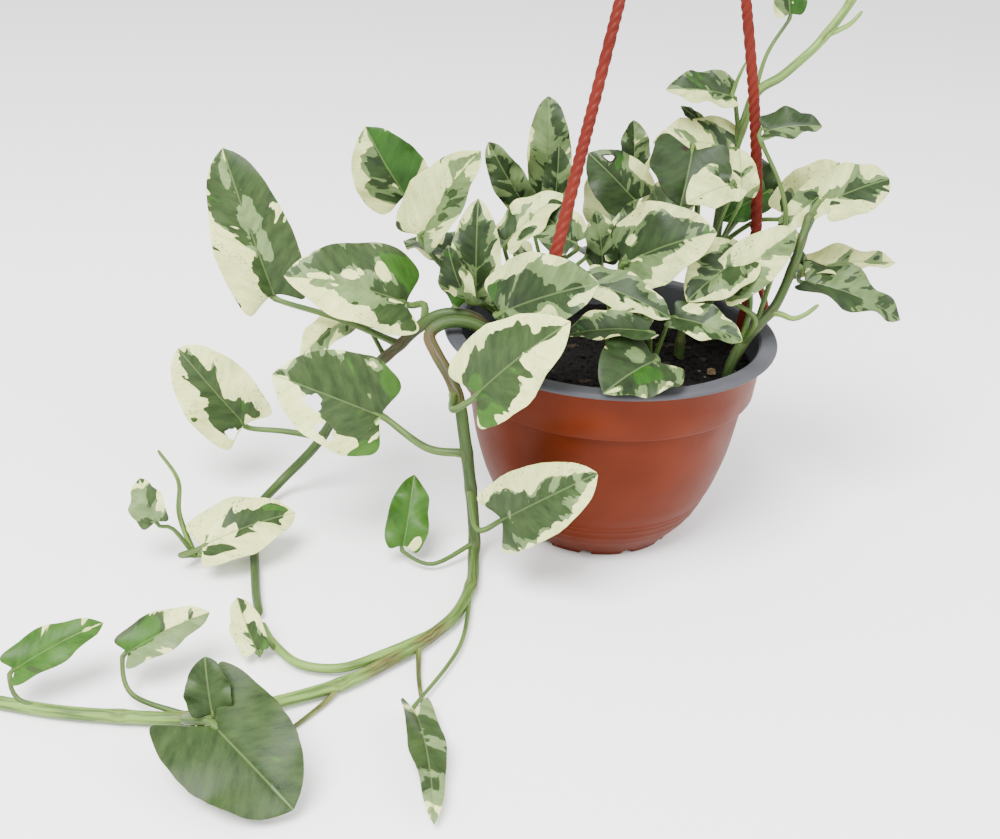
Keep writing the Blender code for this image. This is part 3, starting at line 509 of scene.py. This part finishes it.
def open_holes(u, v, leaf):
    """Move the grid points that lie in a hole out to its ragged rim, and tell which did;
    the scorch is a bell of the distance from the rims of the holes with dark ones."""
    inside = np.zeros(u.shape, bool)
    scorch = np.zeros(u.shape)
    length = blade_length(leaf)
    for hole_u, hole_v, radius, dark in leaf.holes:
        du, dv = (u - hole_u) * length, (v - hole_v) * leaf.width / 2
        reach = np.maximum(np.hypot(du, dv), 1e-6)
        angle = np.arctan2(dv, du)
        rim = radius * (1 + 0.16 * np.sin(3 * angle + 1) + 0.09 * np.sin(7 * angle))
        inner = reach < rim
        grow = np.where(inner, rim / reach, 1.0)
        u, v = hole_u + du * grow / length, hole_v + dv * grow / leaf.width * 2
        inside |= inner
        scorch += dark * np.exp(-(np.maximum(reach - rim, 0) / 1.3) ** 2)
    return u, v, inside, scorch


def threshold(share):
    """The value of smooth noise above which that share of a surface lies."""
    return 0.5 + 0.40 * (0.5 - share)


def blade_tone(leaf, u, v):
    """Noise thresholds for green, vivid and sage, and how brown: those of each half, with
    green pushed back towards the edge by the cream margin, and each mark pulling its own
    colour in by a bell-shaped amount round its place."""
    tone = threshold(np.where((v > 0)[..., None], np.array(leaf.left), np.array(leaf.right)))
    margin = np.clip((np.abs(v) - 0.5) / 0.45, 0, 1) * np.clip(1.4 - 0.6 * u, 0, 1)
    tone[..., 0] += (0.30 * margin - 0.08 * np.exp(-(v / 0.3) ** 2)) * leaf.margin
    brown = np.zeros(u.shape)
    for kind, places in leaf.marks.items():
        for mark_u, mark_v, reach in places:
            pull = np.exp(-((u - mark_u) / reach) ** 2 - ((v - mark_v) / (1.7 * reach)) ** 2)
            tone += 0.45 * pull[..., None] * np.array(MARKS[kind])
            brown += (kind == "brown") * pull
    return tone, brown


def make_blade(leaf, seed):
    """A thin closed blade: two grids set apart along their normals and stitched where
    a cell has no neighbour, which is at the edge and round each hole."""
    fine = 1.6 if leaf.holes else 1.0 if leaf.width > 15 else 0.5
    rows, columns = round(BLADE_ROWS * fine), round(BLADE_COLUMNS * fine / 2) * 2 + 1
    t, v = np.meshgrid(np.linspace(0, 1, rows), np.linspace(-1, 1, columns), indexing="ij")
    u = 1e-4 + 0.9991 * t ** 1.35
    u, v, inside, scorch = open_holes(u, v, leaf)
    points, forward, out = blade_surface(leaf, u, v, seed)
    normals = np.cross(np.gradient(points, axis=0), np.gradient(points, axis=1))
    normals = unit(normals + 1e-9 * blade_frame(leaf)[2])
    thick = BLADE_THICKNESS / 2 * (1 - 0.55 * np.minimum(np.abs(v), 1) ** 4)[..., None]
    top = grid_quads(rows, columns, False)[:, ::-1]
    top = top[~inside.ravel()[top].all(axis=1)]
    count = u.size
    start, end = top.ravel(), np.roll(top, -1, axis=1).ravel()
    alone = ~np.isin(start * count + end, end * count + start)
    rim = np.stack([end, start, start + count, end + count], -1)[alone]
    faces = np.vstack([top, top[:, ::-1] + count, rim]).tolist()
    place = np.stack([(forward - 0.75 * np.abs(out)) / 10, out / 10,
                      np.full(u.shape, 3.7 * seed)], -1).reshape(-1, 3)
    tone, brown = blade_tone(leaf, u, v)
    edge = np.stack([brown + scorch, np.abs(out) / 10, 0 * u], -1).reshape(-1, 3)
    tone = tone.reshape(-1, 3)
    points = np.stack([points + normals * thick, points - normals * thick]).reshape(-1, 3)
    return Skin(points, faces, [0] * len(faces), np.vstack([place, place]),
                np.vstack([tone, tone]), np.vstack([edge, edge + (0, 0, 1)]))


def petiole(leaf, seed):
    """From the joint, up past a bend, into the blade: thick at its foot, thin along its
    middle, and swollen into a knee just below the blade."""
    joint, base = np.array(leaf.joint, float), np.array(leaf.base, float)
    along, across, face = blade_frame(leaf)
    bend = np.array(leaf.via, float) if leaf.via else joint * 0.45 + base * 0.55 + (0, 0, 5)
    knee = base - along * 3 - face * 1.5
    inside = base + along * 0.08 * blade_length(leaf) + face * 0.02 * blade_length(leaf)
    path = smooth_path([joint, bend, knee, inside], 3.0)
    t = np.linspace(0, 1, len(path))
    foot = 0.85 + 0.03 * leaf.width
    radius = foot * (1 - 0.32 * t) * (1 + 0.25 * np.exp(-(t / 0.05) ** 2))
    radius = radius * (1 + 0.28 * np.exp(-((t - 0.9) / 0.045) ** 2)) * (1 - 0.6 * (t > 0.995))
    tone = np.stack([0.7 * np.exp(-(t / 0.06) ** 2), 0.55 + 0 * t, t], -1)
    return rod(path, radius, 10, side=across, tone=tone, slot=1, seed=seed)


def stem_rod(path, ends, joints, sheaths, pale_from, seed):
    """A stem that swells and browns near each joint, its radius running from end to end;
    a sheath is a stretch, centred at that share of its length, that is brown all over.
    It is dark green up to the share pale_from of its length, and light past it."""
    path = smooth_path(path, 2.5)
    t = np.linspace(0, 1, len(path))
    length = np.linalg.norm(np.diff(path, axis=0), axis=1).sum()
    joints = np.array(joints, float).reshape(-1, 3)
    near = np.linalg.norm(path[:, None] - joints, axis=-1).min(axis=1, initial=99.0)
    radius = (ends[0] + (ends[1] - ends[0]) * t) * (1 + 0.12 * np.exp(-(near / 4) ** 2))
    radius = radius * (1 - 0.4 * (t > 0.996))
    brown = 0.4 * np.exp(-((near - 2.2) / 1.2) ** 2)
    for centre in sheaths:
        brown = np.maximum(brown, np.exp(-(((t - centre) * length) / 14) ** 4))
    tone = np.stack([brown, 0.8 * np.clip((pale_from + 0.12 - t) / 0.25, 0, 1), t], -1)
    return rod(path, radius, 14, tone=tone, slot=1, seed=seed)


def make_leafy_stem(name, stem, seed, materials):
    """The stem, its shoots and air roots, and each leaf's blade and petiole, as one piece."""
    joints = [leaf.joint for leaf in stem.leaves] + [path[0] for path, start, end in stem.twigs]
    skins = [stem_rod(stem.path, stem.radius, joints, stem.sheaths, stem.pale_from, seed)]
    for i, (path, start, end) in enumerate(stem.twigs):
        on_floor = max(height for x, y, height in path) < 10
        roots = (0.3, 0.7) if on_floor and start < 1.7 else ()
        skins.append(stem_rod(path, (start, end), (), roots, 0.0, seed + 50 + i))
    for i, leaf in enumerate(stem.leaves):
        skins.append(make_blade(leaf, seed + i))
        skins.append(petiole(leaf, seed + i))
    make_object(f"{name}_leaves", skins, materials, [name], "pothos_leaf")


# ---------------------------------------------------------------- pot and soil
def turned(profile, steps, slots, shape=None):
    """A closed turned skin: a profile of radius and height carried round Z, where shape
    may move the grid's radius and height, given with the angle; each slot is that of
    the band above it in the list."""
    profile = np.array(profile, float)
    angle = np.broadcast_to(np.arange(steps) * 2 * np.pi / steps, (len(profile), steps))
    radius, height = (np.repeat(profile[:, i:i + 1], steps, axis=1) for i in (0, 1))
    if shape:
        radius, height = shape(radius, height, angle)
    points = np.stack([radius * np.cos(angle), radius * np.sin(angle), height], -1)
    faces = grid_quads(len(profile), steps, True)[:, ::-1].tolist()
    last = (len(profile) - 1) * steps
    faces += [list(range(steps)), list(range(last, last + steps))[::-1]]
    bands = np.repeat(np.broadcast_to(slots, len(profile) - 1), steps).tolist()
    return plain_skin(points.reshape(-1, 3), faces, bands + [bands[0], bands[-1]])


def arc(centre, radius, start, end, count=6):
    """Points of a round stretch of a profile, from start to end in degrees."""
    turn = np.radians(np.linspace(start, end, count))
    return np.stack([centre[0] + radius * np.cos(turn), centre[1] + radius * np.sin(turn)], -1)


def bowl_curve(step=1.2):
    """The bowl's outer profile, radius and height, smooth from the collar to the base."""
    return smooth_path([(r, 0, z) for z, r in BOWL], step)[:, (0, 2)]


def pot_shape(radius, height, angle):
    """Ridges: bells of radius at their heights.  Drain notches: arches round the base
    edge, where every point lower than the arch is lifted to it."""
    outer = np.arange(len(radius))[:, None] > len(radius) * 0.4
    for ridge, rise in RIDGES:
        radius = radius + rise * np.exp(-((height - ridge) / 0.7) ** 2) * outer
    turn = (angle * DRAIN_COUNT / (2 * np.pi) - DRAIN_TURN + 0.5) % 1 - 0.5
    across = turn * 2 * np.pi / DRAIN_COUNT * 51.0 / DRAIN_RADIUS
    arch = DRAIN_HEIGHT * np.sqrt(np.clip(1 - across ** 2, 0, 1)) * np.clip((radius - 41) / 8, 0, 1)
    height = np.where(outer & (radius < 62), np.maximum(height, arch), height)
    return radius, height


def make_pot(materials):
    """Inner floor and wall, the flat rim with its rolled edge, the collar, the bowl and
    the base: terracotta outside, grey on the rim and inside."""
    outer = bowl_curve()
    inner = outer[outer[:, 1] > 18][::-1] + (-WALL, 0.4 * WALL)
    floor = np.array([(1, FLOOR_THICKNESS), (44, FLOOR_THICKNESS), (50.5, 6.2)])
    rim_top = np.array([(MOUTH_RADIUS - 3.6, COLLAR_BOTTOM + 0.6), (MOUTH_RADIUS - 0.6, 129.2)])
    rolled = np.vstack([arc((MOUTH_RADIUS + 1.4, POT_HEIGHT - 1.6), 1.6, 180, 90),
                        arc((RIM_RADIUS - 2.0, POT_HEIGHT - 2.0), 2.0, 90, 0),
                        arc((RIM_RADIUS - 0.8, POT_HEIGHT - LIP_DEPTH + 0.6), 0.6, 0, -90, 4)])
    collar = np.array([(MOUTH_RADIUS + 2.4, POT_HEIGHT - LIP_DEPTH), (MOUTH_RADIUS + 1.9, 126.6),
                       (MOUTH_RADIUS + 0.8, 112), (MOUTH_RADIUS - 0.6, COLLAR_BOTTOM + 1.2),
                       (MOUTH_RADIUS - 1.1, COLLAR_BOTTOM + 0.3), (86.3, COLLAR_BOTTOM - 0.1)])
    base = np.array([(46, 0), (43, 0), (40, 0.2), (1, 0.4)])
    grey = np.vstack([floor, inner, rim_top, rolled])
    profile = np.vstack([grey, collar, outer[1:], base])
    slots = [1] * (len(grey)) + [0] * (len(profile) - len(grey) - 1)
    skin = turned(profile, 240, slots, pot_shape)
    make_object("pot_bowl", [skin], materials, ["pot"], "pot_plastic", sharp=35)


def soil_height(x, y):
    """Top of the soil at a place: slow swells, a crumble of 4 mm waves and a finer one."""
    swell = 0.9 * np.sin(x * 0.07 + 1.0) * np.cos(y * 0.06)
    crumble = 0.9 * ripple(x * 0.55, y * 0.55, 3) + 0.55 * ripple(x * 1.5, y * 1.5, 4)
    return SOIL_TOP - 0.6 + swell + crumble


def soil_shape(radius, height, angle):
    """The crown follows soil_height, with less of it near the wall."""
    crown = height > SOIL_TOP - 0.01
    x, y = radius * np.cos(angle), radius * np.sin(angle)
    calm = np.clip((88.5 - radius) / 3, 0, 1)
    return radius, np.where(crown, SOIL_TOP + (soil_height(x, y) - SOIL_TOP) * calm, height)


def lumps(centres, sizes, turns, seed, slot):
    """Copies of a twenty-faced lump, each scaled, turned about Z and pushed out of true."""
    gold = (1 + 5 ** 0.5) / 2
    corners = np.array([(a, b * gold, 0) for a in (-1, 1) for b in (-1, 1)])
    corners = unit(np.vstack([np.roll(corners, i, axis=1) for i in range(3)]).astype(float))
    gaps = np.linalg.norm(corners[:, None] - corners, axis=-1)
    near = (gaps < 1.1) & (gaps > 0)
    faces = [(a, b, c) for a in range(12) for b in range(a) for c in range(b)
             if near[a, b] and near[b, c] and near[a, c]]
    faces = np.array([(a, b, c) if np.cross(corners[b] - corners[a], corners[c] - corners[a])
                      @ corners[a] > 0 else (a, c, b) for a, b, c in faces])
    rng = np.random.default_rng(seed)
    shape = corners * (1 + rng.uniform(-0.3, 0.3, (len(centres), 12, 1))) * sizes[:, None]
    c, s = np.cos(turns)[:, None], np.sin(turns)[:, None]
    x, y = shape[..., 0] * c - shape[..., 1] * s, shape[..., 0] * s + shape[..., 1] * c
    points = np.stack([x, y, shape[..., 2]], -1) + centres[:, None]
    faces = (faces + 12 * np.arange(len(centres))[:, None, None]).reshape(-1, 3).tolist()
    return plain_skin(points.reshape(-1, 3), faces, [slot] * len(faces))


def scatter(count, seed, reach=85.0):
    """Places spread evenly over the soil's top."""
    rng = np.random.default_rng(seed)
    radius, angle = reach * np.sqrt(rng.uniform(0, 1, count)), rng.uniform(0, 2 * np.pi, count)
    x, y = radius * np.cos(angle), radius * np.sin(angle)
    return np.stack([x, y, soil_height(x, y)], -1), rng


def make_soil(materials):
    """Peat up to just under the rim, with crumbs, bark chips and a few pale grains on it."""
    inner = [(r - WALL - 0.4, z + 0.4 * WALL) for z, r in BOWL[:-3]]
    crown = [(r, SOIL_TOP) for r in np.linspace(0.5, 86.4, 70)]
    profile = crown + [(86.9, 110.4), (85.6, 99.2)] + inner + [(50, 6.9)]
    profile += [(43.6, SOIL_BOTTOM), (0.5, SOIL_BOTTOM)]
    skins = [turned(np.array(profile)[::-1], 300, [0], soil_shape)]
    for count, low, high, tall, slot, seed in LITTER:
        centres, rng = scatter(count, seed)
        size = rng.uniform(low, high, count)
        sizes = np.stack([size * rng.uniform(1, 1.8, count), size, size * tall], -1)
        skins.append(lumps(centres, sizes, rng.uniform(0, 6.3, count), seed, slot))
    chip = np.array([(*HUSK_PLACE, soil_height(*HUSK_PLACE) + 1.6)])
    skins.append(lumps(chip, np.array([(2.4, 4.6, 2.6)]), np.array([0.2]), 21, 3))
    make_object("soil_bed", skins, materials, ["soil"], "peat", sharp=40)


# ---------------------------------------------------------------- hanger
def strand_path(out, bow):
    """From the fork over the lip up to the underside of the hub, bowed out at its middle."""
    foot = out * (RIM_RADIUS + STRAND_FOOT[0]) + (0, 0, POT_HEIGHT + STRAND_FOOT[1])
    seat = HUB + out * HUB_SEAT_RADIUS - (0, 0, 0.3)
    knee = seat - (0, 0, 12)
    lean = (foot + knee) / 2 + out * bow
    return smooth_path([foot, (foot + lean) / 2 + out * bow / 2, lean, knee, seat], ROPE_STEP)


def make_strand(name, angle, bow, materials):
    """A rope-like strand: its plies are round humps of the radius that wind once round in
    every pitch, over a fork of a flat leg and a round prong."""
    out = np.array((np.cos(np.radians(angle)), np.sin(np.radians(angle)), 0))
    side = np.array((-out[1], out[0], 0))
    path = strand_path(out, bow)
    count, sides = len(path), 40
    run = np.arange(count)[:, None] * ROPE_STEP
    turn = np.arange(sides) * 2 * np.pi / sides - 2 * np.pi * run / ROPE_PITCH
    relief = 0.36 * np.abs(np.sin(ROPE_PLIES / 2 * turn)) ** 0.8 - 0.26
    taper = np.linspace(*STRAND_RADII, count)
    skins = [rod(path, taper, sides, relief=relief * np.clip((run - 4) / 6, 0, 1))]
    leg = smooth_path([out * (MOUTH_RADIUS + far) + (0, 0, POT_HEIGHT + high)
                       for far, high, width in LEG], 1.5)
    t = np.linspace(0, 1, len(leg))
    width = np.interp(t, (0, 0.5, 1), [width for far, high, width in LEG])
    width = width * np.sqrt(1 - np.clip((t - 0.93) / 0.08, 0, 1) ** 2)
    skins.append(rod(leg, width, 28, side=side, flat=1.2 / width, power=0.55))
    prong = smooth_path([out * (RIM_RADIUS + far) + (0, 0, POT_HEIGHT + high)
                         for far, high in PRONG], 1.0)
    t = np.linspace(0, 1, len(prong))
    thick = (2.2 - 0.4 * t) * np.sqrt(1 - np.clip((t - 0.95) / 0.051, 0, 1) ** 2)
    skins.append(rod(prong, thick, 18, side=side))
    make_object(f"{name}_rope", skins, materials, [name], "hanger_plastic", sharp=70)


def make_hook(materials):
    """A domed hub where the strands meet, and a round wire bent into a hook above it."""
    top = HUB[2] + HUB_THICKNESS
    dome = arc((HUB_RADIUS * 0.5, top - 5), 5, 90, 20, 8) + (1.0, 0)
    profile = np.vstack([[(0.3, HUB[2])], arc((HUB_RADIUS - 1, HUB[2] + 1), 1, -90, 0, 5),
                         arc((HUB_RADIUS - 1.5, HUB[2] + 3.4), 1.5, 0, 50, 5), dome[::-1],
                         [(0.3, top)]])
    hub = turned(profile[::-1], 96, [0])
    hub = hub._replace(points=hub.points + (HUB[0], HUB[1], 0))
    centre = np.array((HUB[0], HUB[1], top + SHANK_HEIGHT + HOOK_BEND_RADIUS))
    shank = [(HUB[0], HUB[1], HUB[2] + 4), (HUB[0], HUB[1], top + 5),
             (HUB[0] - HOOK_BEND_RADIUS * 0.6, HUB[1], top + 10)]
    bend = np.radians(np.arange(200, -41, -20))
    bend = centre + HOOK_BEND_RADIUS * np.stack([np.cos(bend), 0 * bend, np.sin(bend)], -1)
    path = smooth_path(shank + bend.tolist(), 1.2)
    t = np.linspace(0, 1, len(path))
    thick = HOOK_RADIUS * (1 - 0.2 * t) * np.sqrt(1 - np.clip((t - 0.98) / 0.0201, 0, 1) ** 2)
    make_object("hook_wire", [hub, rod(path, np.maximum(thick, 0.3), 24)], materials,
                ["hook"], "hanger_plastic", sharp=60)


# ---------------------------------------------------------------- materials
# The settings of a Mix node that mixes colours, and the output that it gives.
COLOUR_MIX = dict(out=2, data_type="RGBA")


def linear(code):
    """The linear colour of an sRGB hex value."""
    srgb = np.array([int(code[i:i + 2], 16) for i in (1, 3, 5)]) / 255
    rgb = np.where(srgb <= 0.04045, srgb / 12.92, ((srgb + 0.055) / 1.055) ** 2.4)
    return (*rgb.tolist(), 1.0)


def add(tree, kind, inputs=None, out=0, **settings):
    """A node with its settings, its inputs set or, where they are sockets, linked;
    it gives the node's output named or numbered by out."""
    node = tree.nodes.new("ShaderNode" + kind)
    for key, value in settings.items():
        setattr(node, key, value)
    for key, value in (inputs or {}).items():
        if isinstance(value, bpy.types.NodeSocket):
            tree.links.new(value, node.inputs[key])
        else:
            node.inputs[key].default_value = value
    return node.outputs[out] if node.outputs else None


def blank_material(name):
    material = bpy.data.materials.new(name)
    material.use_nodes = True
    material.node_tree.nodes.clear()
    return material, material.node_tree


def waxy_pothos_leaf(name, tints):
    """Living pothos leaf, smooth with a thin wax: crisp patches of deep green, grey green
    and cream that run out along the side veins, a pale midrib, and a low soft sheen."""
    material, tree = blank_material(name)
    place, tone, edge = (add(tree, "Attribute", out="Vector", attribute_name=key)
                         for key in ("place", "tone", "edge"))
    places, tones, edges = (add(tree, "SeparateXYZ", {0: vector}).node.outputs
                            for vector in (place, tone, edge))
    # Patches 15 mm wide across the side veins and half as long again down them.
    drawn = add(tree, "VectorMath", {0: place, 1: (1.0, 0.62, 1.0)}, operation="MULTIPLY")
    patch = add(tree, "TexNoise", {"Vector": drawn, "Scale": 0.7, "Detail": 3.0,
                                   "Roughness": 0.45, "Distortion": 0.3})
    rise = add(tree, "Math", {0: patch, 1: tones[0]}, operation="SUBTRACT")
    green = add(tree, "MapRange", {"Value": rise, "From Min": -0.006, "From Max": 0.006})
    # Grey green where the rise over the cream is slight, and in patches of its own.
    second = add(tree, "TexNoise", {"Vector": drawn, "Scale": 1.5, "Detail": 4.0, "W": 4.0,
                                    "Distortion": 0.4}, noise_dimensions="4D")
    slight = add(tree, "Math", {0: rise, 1: -0.9, 2: second}, operation="MULTIPLY_ADD")
    over = add(tree, "Math", {0: slight, 1: tones[2]}, operation="SUBTRACT")
    sage = add(tree, "MapRange", {"Value": over, "From Min": -0.012, "From Max": 0.012})
    third = add(tree, "TexNoise", {"Vector": drawn, "Scale": 0.6, "Detail": 3.0, "W": 9.0},
                noise_dimensions="4D")
    bright = add(tree, "Math", {0: third, 1: tones[1]}, operation="SUBTRACT")
    vivid = add(tree, "MapRange", {"Value": bright, "From Min": -0.015, "From Max": 0.015})
    # Specks of green half a millimetre to two across, in drifts on the cream.
    speck = add(tree, "TexNoise", {"Vector": place, "Scale": 7.0, "Detail": 2.0})
    drift = add(tree, "TexNoise", {"Vector": place, "Scale": 0.7, "Detail": 1.0})
    speck = add(tree, "Math", {0: drift, 1: 0.35, 2: speck}, operation="MULTIPLY_ADD")
    speck = add(tree, "MapRange", {"Value": speck, "From Min": 0.835, "From Max": 0.86,
                                   "To Max": 0.8})
    streak = add(tree, "VectorMath", {0: place, 1: (1.5, 0.8, 1.0)}, operation="MULTIPLY")
    mottle = add(tree, "TexNoise", {"Vector": streak, "Scale": 1.1, "Detail": 5.0,
                                    "Roughness": 0.6})
    mottle = add(tree, "MapRange", {"Value": mottle, "From Min": 0.22, "From Max": 0.74})
    deep, greyed, cream, lively = (
        add(tree, "Mix", {0: mottle, 6: linear(dark), 7: linear(light)}, **COLOUR_MIX)
        for dark, light in (tints["deep"], tints["grey"], tints["cream"], tints["vivid"]))
    leafy = add(tree, "Mix", {0: sage, 6: deep, 7: greyed}, **COLOUR_MIX)
    leafy = add(tree, "Mix", {0: vivid, 6: leafy, 7: lively}, **COLOUR_MIX)
    pale = add(tree, "Mix", {0: speck, 6: cream, 7: greyed}, **COLOUR_MIX)
    colour = add(tree, "Mix", {0: green, 6: pale, 7: leafy}, **COLOUR_MIX)
    # The midrib, under a millimetre wide, and fainter side veins every few millimetres.
    rib = add(tree, "MapRange", {"Value": edges[1], "From Min": 0.03, "From Max": 0.07,
                                 "To Min": 0.5, "To Max": 0.0})
    vein = add(tree, "Math", {0: places[0], 1: VEIN_SPACING / 20}, operation="PINGPONG")
    vein = add(tree, "MapRange", {"Value": vein, "From Min": 0.0, "From Max": 0.05,
                                  "To Min": 0.12, "To Max": 0.0})
    below = add(tree, "Math", {0: edges[2], 1: 0.4}, operation="MULTIPLY")
    spot = add(tree, "MapRange", {"Value": edges[0], "From Min": 0.25, "From Max": 0.6})
    for share, layer in ((rib, MIDRIB), (vein, tints["deep"][0]), (below, UNDERSIDE),
                         (spot, BROWN_SPOT)):
        colour = add(tree, "Mix", {0: share, 6: colour, 7: linear(layer)}, **COLOUR_MIX)
    fine = add(tree, "TexNoise", {"Vector": place, "Scale": 14.0, "Detail": 2.0})
    dips = add(tree, "Math", {0: vein, 1: -1.5, 2: fine}, operation="MULTIPLY_ADD")
    bump = add(tree, "Bump", {"Strength": 0.35, "Distance": 0.0003, "Height": dips})
    rough = add(tree, "MapRange", {"Value": mottle, "To Min": 0.38, "To Max": 0.5})
    shader = add(tree, "BsdfPrincipled", {
        "Base Color": colour, "Roughness": rough, "Normal": bump, "IOR": 1.45,
        "Specular IOR Level": 0.22, "Subsurface Weight": 0.08, "Subsurface Scale": 0.002})
    add(tree, "OutputMaterial", {"Surface": shader})
    return material


def green_stem():
    """Living stem, smooth and fleshy: light green drawn with darker lines along it, tan
    and brown where it was sheathed."""
    material, tree = blank_material("fleshy_green_stem")
    place = add(tree, "Attribute", out="Vector", attribute_name="place")
    tone = add(tree, "Attribute", out="Vector", attribute_name="tone")
    tones = add(tree, "SeparateXYZ", {0: tone}).node.outputs
    drawn = add(tree, "VectorMath", {0: place, 1: (0.25, 3.0, 1.0)}, operation="MULTIPLY")
    lines = add(tree, "TexNoise", {"Vector": drawn, "Scale": 1.6, "Detail": 3.0})
    lines = add(tree, "MapRange", {"Value": lines, "From Min": 0.4, "From Max": 0.62})
    colour = add(tree, "Mix", {0: lines, 6: linear("#718e43"), 7: linear("#475f2c")}, **COLOUR_MIX)
    shade = add(tree, "Mix", {0: tones[1], 6: colour, 7: linear("#26371c")}, **COLOUR_MIX)
    flecks = add(tree, "TexNoise", {"Vector": drawn, "Scale": 2.6, "Detail": 4.0})
    edge = add(tree, "MapRange", {"Value": flecks, "From Min": 0.32, "From Max": 0.6,
                                  "To Min": 1.0, "To Max": 0.35})
    brown = add(tree, "Math", {0: tones[0], 1: edge}, operation="MULTIPLY")
    bark = add(tree, "Mix", {0: lines, 6: linear("#5a3a28"), 7: linear("#2c1710")}, **COLOUR_MIX)
    colour = add(tree, "Mix", {0: brown, 6: shade, 7: bark}, **COLOUR_MIX)
    bump = add(tree, "Bump", {"Strength": 0.4, "Distance": 0.0004, "Height": lines})
    shader = add(tree, "BsdfPrincipled", {
        "Base Color": colour, "Roughness": 0.46, "Normal": bump, "IOR": 1.45,
        "Specular IOR Level": 0.25, "Subsurface Weight": 0.08, "Subsurface Scale": 0.002})
    add(tree, "OutputMaterial", {"Surface": shader})
    return material


def moulded_plastic(name, light, dark, roughness, grain):
    """Injection-moulded polypropylene, coloured through: an even colour with faint flow
    clouds, a satin gloss that varies with them, and a fine moulded grain."""
    material, tree = blank_material(name)
    spot = add(tree, "TexCoord", out="Object")
    clouds = add(tree, "TexNoise", {"Vector": spot, "Scale": 22.0, "Detail": 4.0})
    clouds = add(tree, "MapRange", {"Value": clouds, "From Min": 0.3, "From Max": 0.7})
    colour = add(tree, "Mix", {0: clouds, 6: linear(light), 7: linear(dark)}, **COLOUR_MIX)
    rough = add(tree, "MapRange", {"Value": clouds, "To Min": roughness - 0.05,
                                   "To Max": roughness + 0.07})
    grit = add(tree, "TexNoise", {"Vector": spot, "Scale": 1400.0, "Detail": 2.0})
    bump = add(tree, "Bump", {"Strength": grain, "Distance": 0.0002, "Height": grit})
    shader = add(tree, "BsdfPrincipled", {
        "Base Color": colour, "Roughness": rough, "Normal": bump, "IOR": 1.49,
        "Specular IOR Level": 0.08})
    add(tree, "OutputMaterial", {"Surface": shader})
    return material


def loose_matter(name, light, dark, size):
    """Loose dry matter such as peat, bark or perlite: broken grains, no gloss at all."""
    material, tree = blank_material(name)
    spot = add(tree, "TexCoord", out="Object")
    grains = add(tree, "TexNoise", {"Vector": spot, "Scale": 1 / (size * MM), "Detail": 5.0,
                                    "Roughness": 0.7})
    grains = add(tree, "MapRange", {"Value": grains, "From Min": 0.35, "From Max": 0.68})
    colour = add(tree, "Mix", {0: grains, 6: linear(dark), 7: linear(light)}, **COLOUR_MIX)
    bump = add(tree, "Bump", {"Strength": 0.9, "Distance": 0.0008, "Height": grains})
    shader = add(tree, "BsdfPrincipled", {
        "Base Color": colour, "Roughness": 0.93, "Normal": bump, "Specular IOR Level": 0.2})
    add(tree, "OutputMaterial", {"Surface": shader})
    return material


# ---------------------------------------------------------------- studio
def make_studio():
    """A pale floor, a pale sky all round, a large soft light over the front left and a
    weaker one on the right; the camera looks down at the pot from the front."""
    material, tree = blank_material("pale_floor")
    shader = add(tree, "BsdfPrincipled", {"Base Color": linear("#ffffff"), "Roughness": 0.9,
                                          "Specular IOR Level": 0.1})
    add(tree, "OutputMaterial", {"Surface": shader})
    corners = np.array([(-1, -1), (1, -1), (1, 1), (-1, 1)]) * 12000.0
    floor = np.c_[corners, np.full(4, -0.2)]
    floor = make_object("floor", [plain_skin(floor, [[0, 1, 2, 3]], [0])], [material])
    scene = bpy.context.scene
    world = scene.world or bpy.data.worlds.new("studio")
    scene.world = world
    world.use_nodes = True
    sky = world.node_tree.nodes["Background"]
    sky.inputs["Color"].default_value = linear("#ffffff")
    sky.inputs["Strength"].default_value = 1.6
    for name, place, size, power in (("key_light", (-0.6, -1.1, 1.9), 1.3, 130),
                                     ("fill_light", (1.4, -0.7, 1.2), 1.4, 22)):
        lamp = bpy.data.lights.new(name, "AREA")
        lamp.shape = "DISK"
        lamp.size = size
        lamp.energy = power
        light = bpy.data.objects.new(name, lamp)
        light.location = place
        toward = Vector((0, 0, 0.15)) - Vector(place)
        light.rotation_euler = toward.to_track_quat("-Z", "Y").to_euler()
        scene.collection.objects.link(light)
    camera = bpy.data.cameras.new("camera")
    camera.lens = CAMERA_LENS
    camera.sensor_width = 36.0
    camera.clip_end = 60.0
    view = bpy.data.objects.new("camera", camera)
    axes = Matrix((CAMERA_RIGHT, CAMERA_UP, Vector(CAMERA_RIGHT).cross(Vector(CAMERA_UP))))
    view.matrix_world = Matrix.Translation(CAMERA_PLACE) @ axes.transposed().to_4x4()
    scene.collection.objects.link(view)
    scene.camera = view


def main():
    body = moulded_plastic("terracotta_polypropylene", "#5a210b", "#4e1b08", 0.42, 0.12)
    grey = moulded_plastic("grey_polypropylene", "#4b4c50", "#3e3f43", 0.5, 0.10)
    hanger = moulded_plastic("brick_red_polypropylene", "#64231a", "#4f1811", 0.40, 0.10)
    peat = loose_matter("dark_peat", "#14110d", "#050403", 1.2)
    bark = loose_matter("bark_chips", "#43352a", "#1c1410", 1.5)
    grains = loose_matter("perlite_grains", "#b4ac9c", "#857b6a", 0.8)
    husk = loose_matter("coconut_husk", "#a08a68", "#5d4a34", 2.0)
    stalk = green_stem()
    young = [waxy_pothos_leaf("waxy_young_leaf", YOUNG), stalk]
    # The leaves over the pot get darker, duller tints: partly older leaves' own colour, partly
    # painted shade.
    old_and_shaded = [waxy_pothos_leaf("waxy_old_leaf_painted_shade", OLD_AND_SHADED), stalk]
    make_pot([body, grey])
    make_soil([peat, bark, grains, husk])
    for name, (angle, bow) in STRANDS.items():
        make_strand(name, angle, bow, [hanger])
    make_hook([hanger])
    for i, (name, stem) in enumerate(STEMS.items()):
        make_leafy_stem(name, stem, 100 * (i + 1), young if name in VINES else old_and_shaded)
    make_studio()


main()
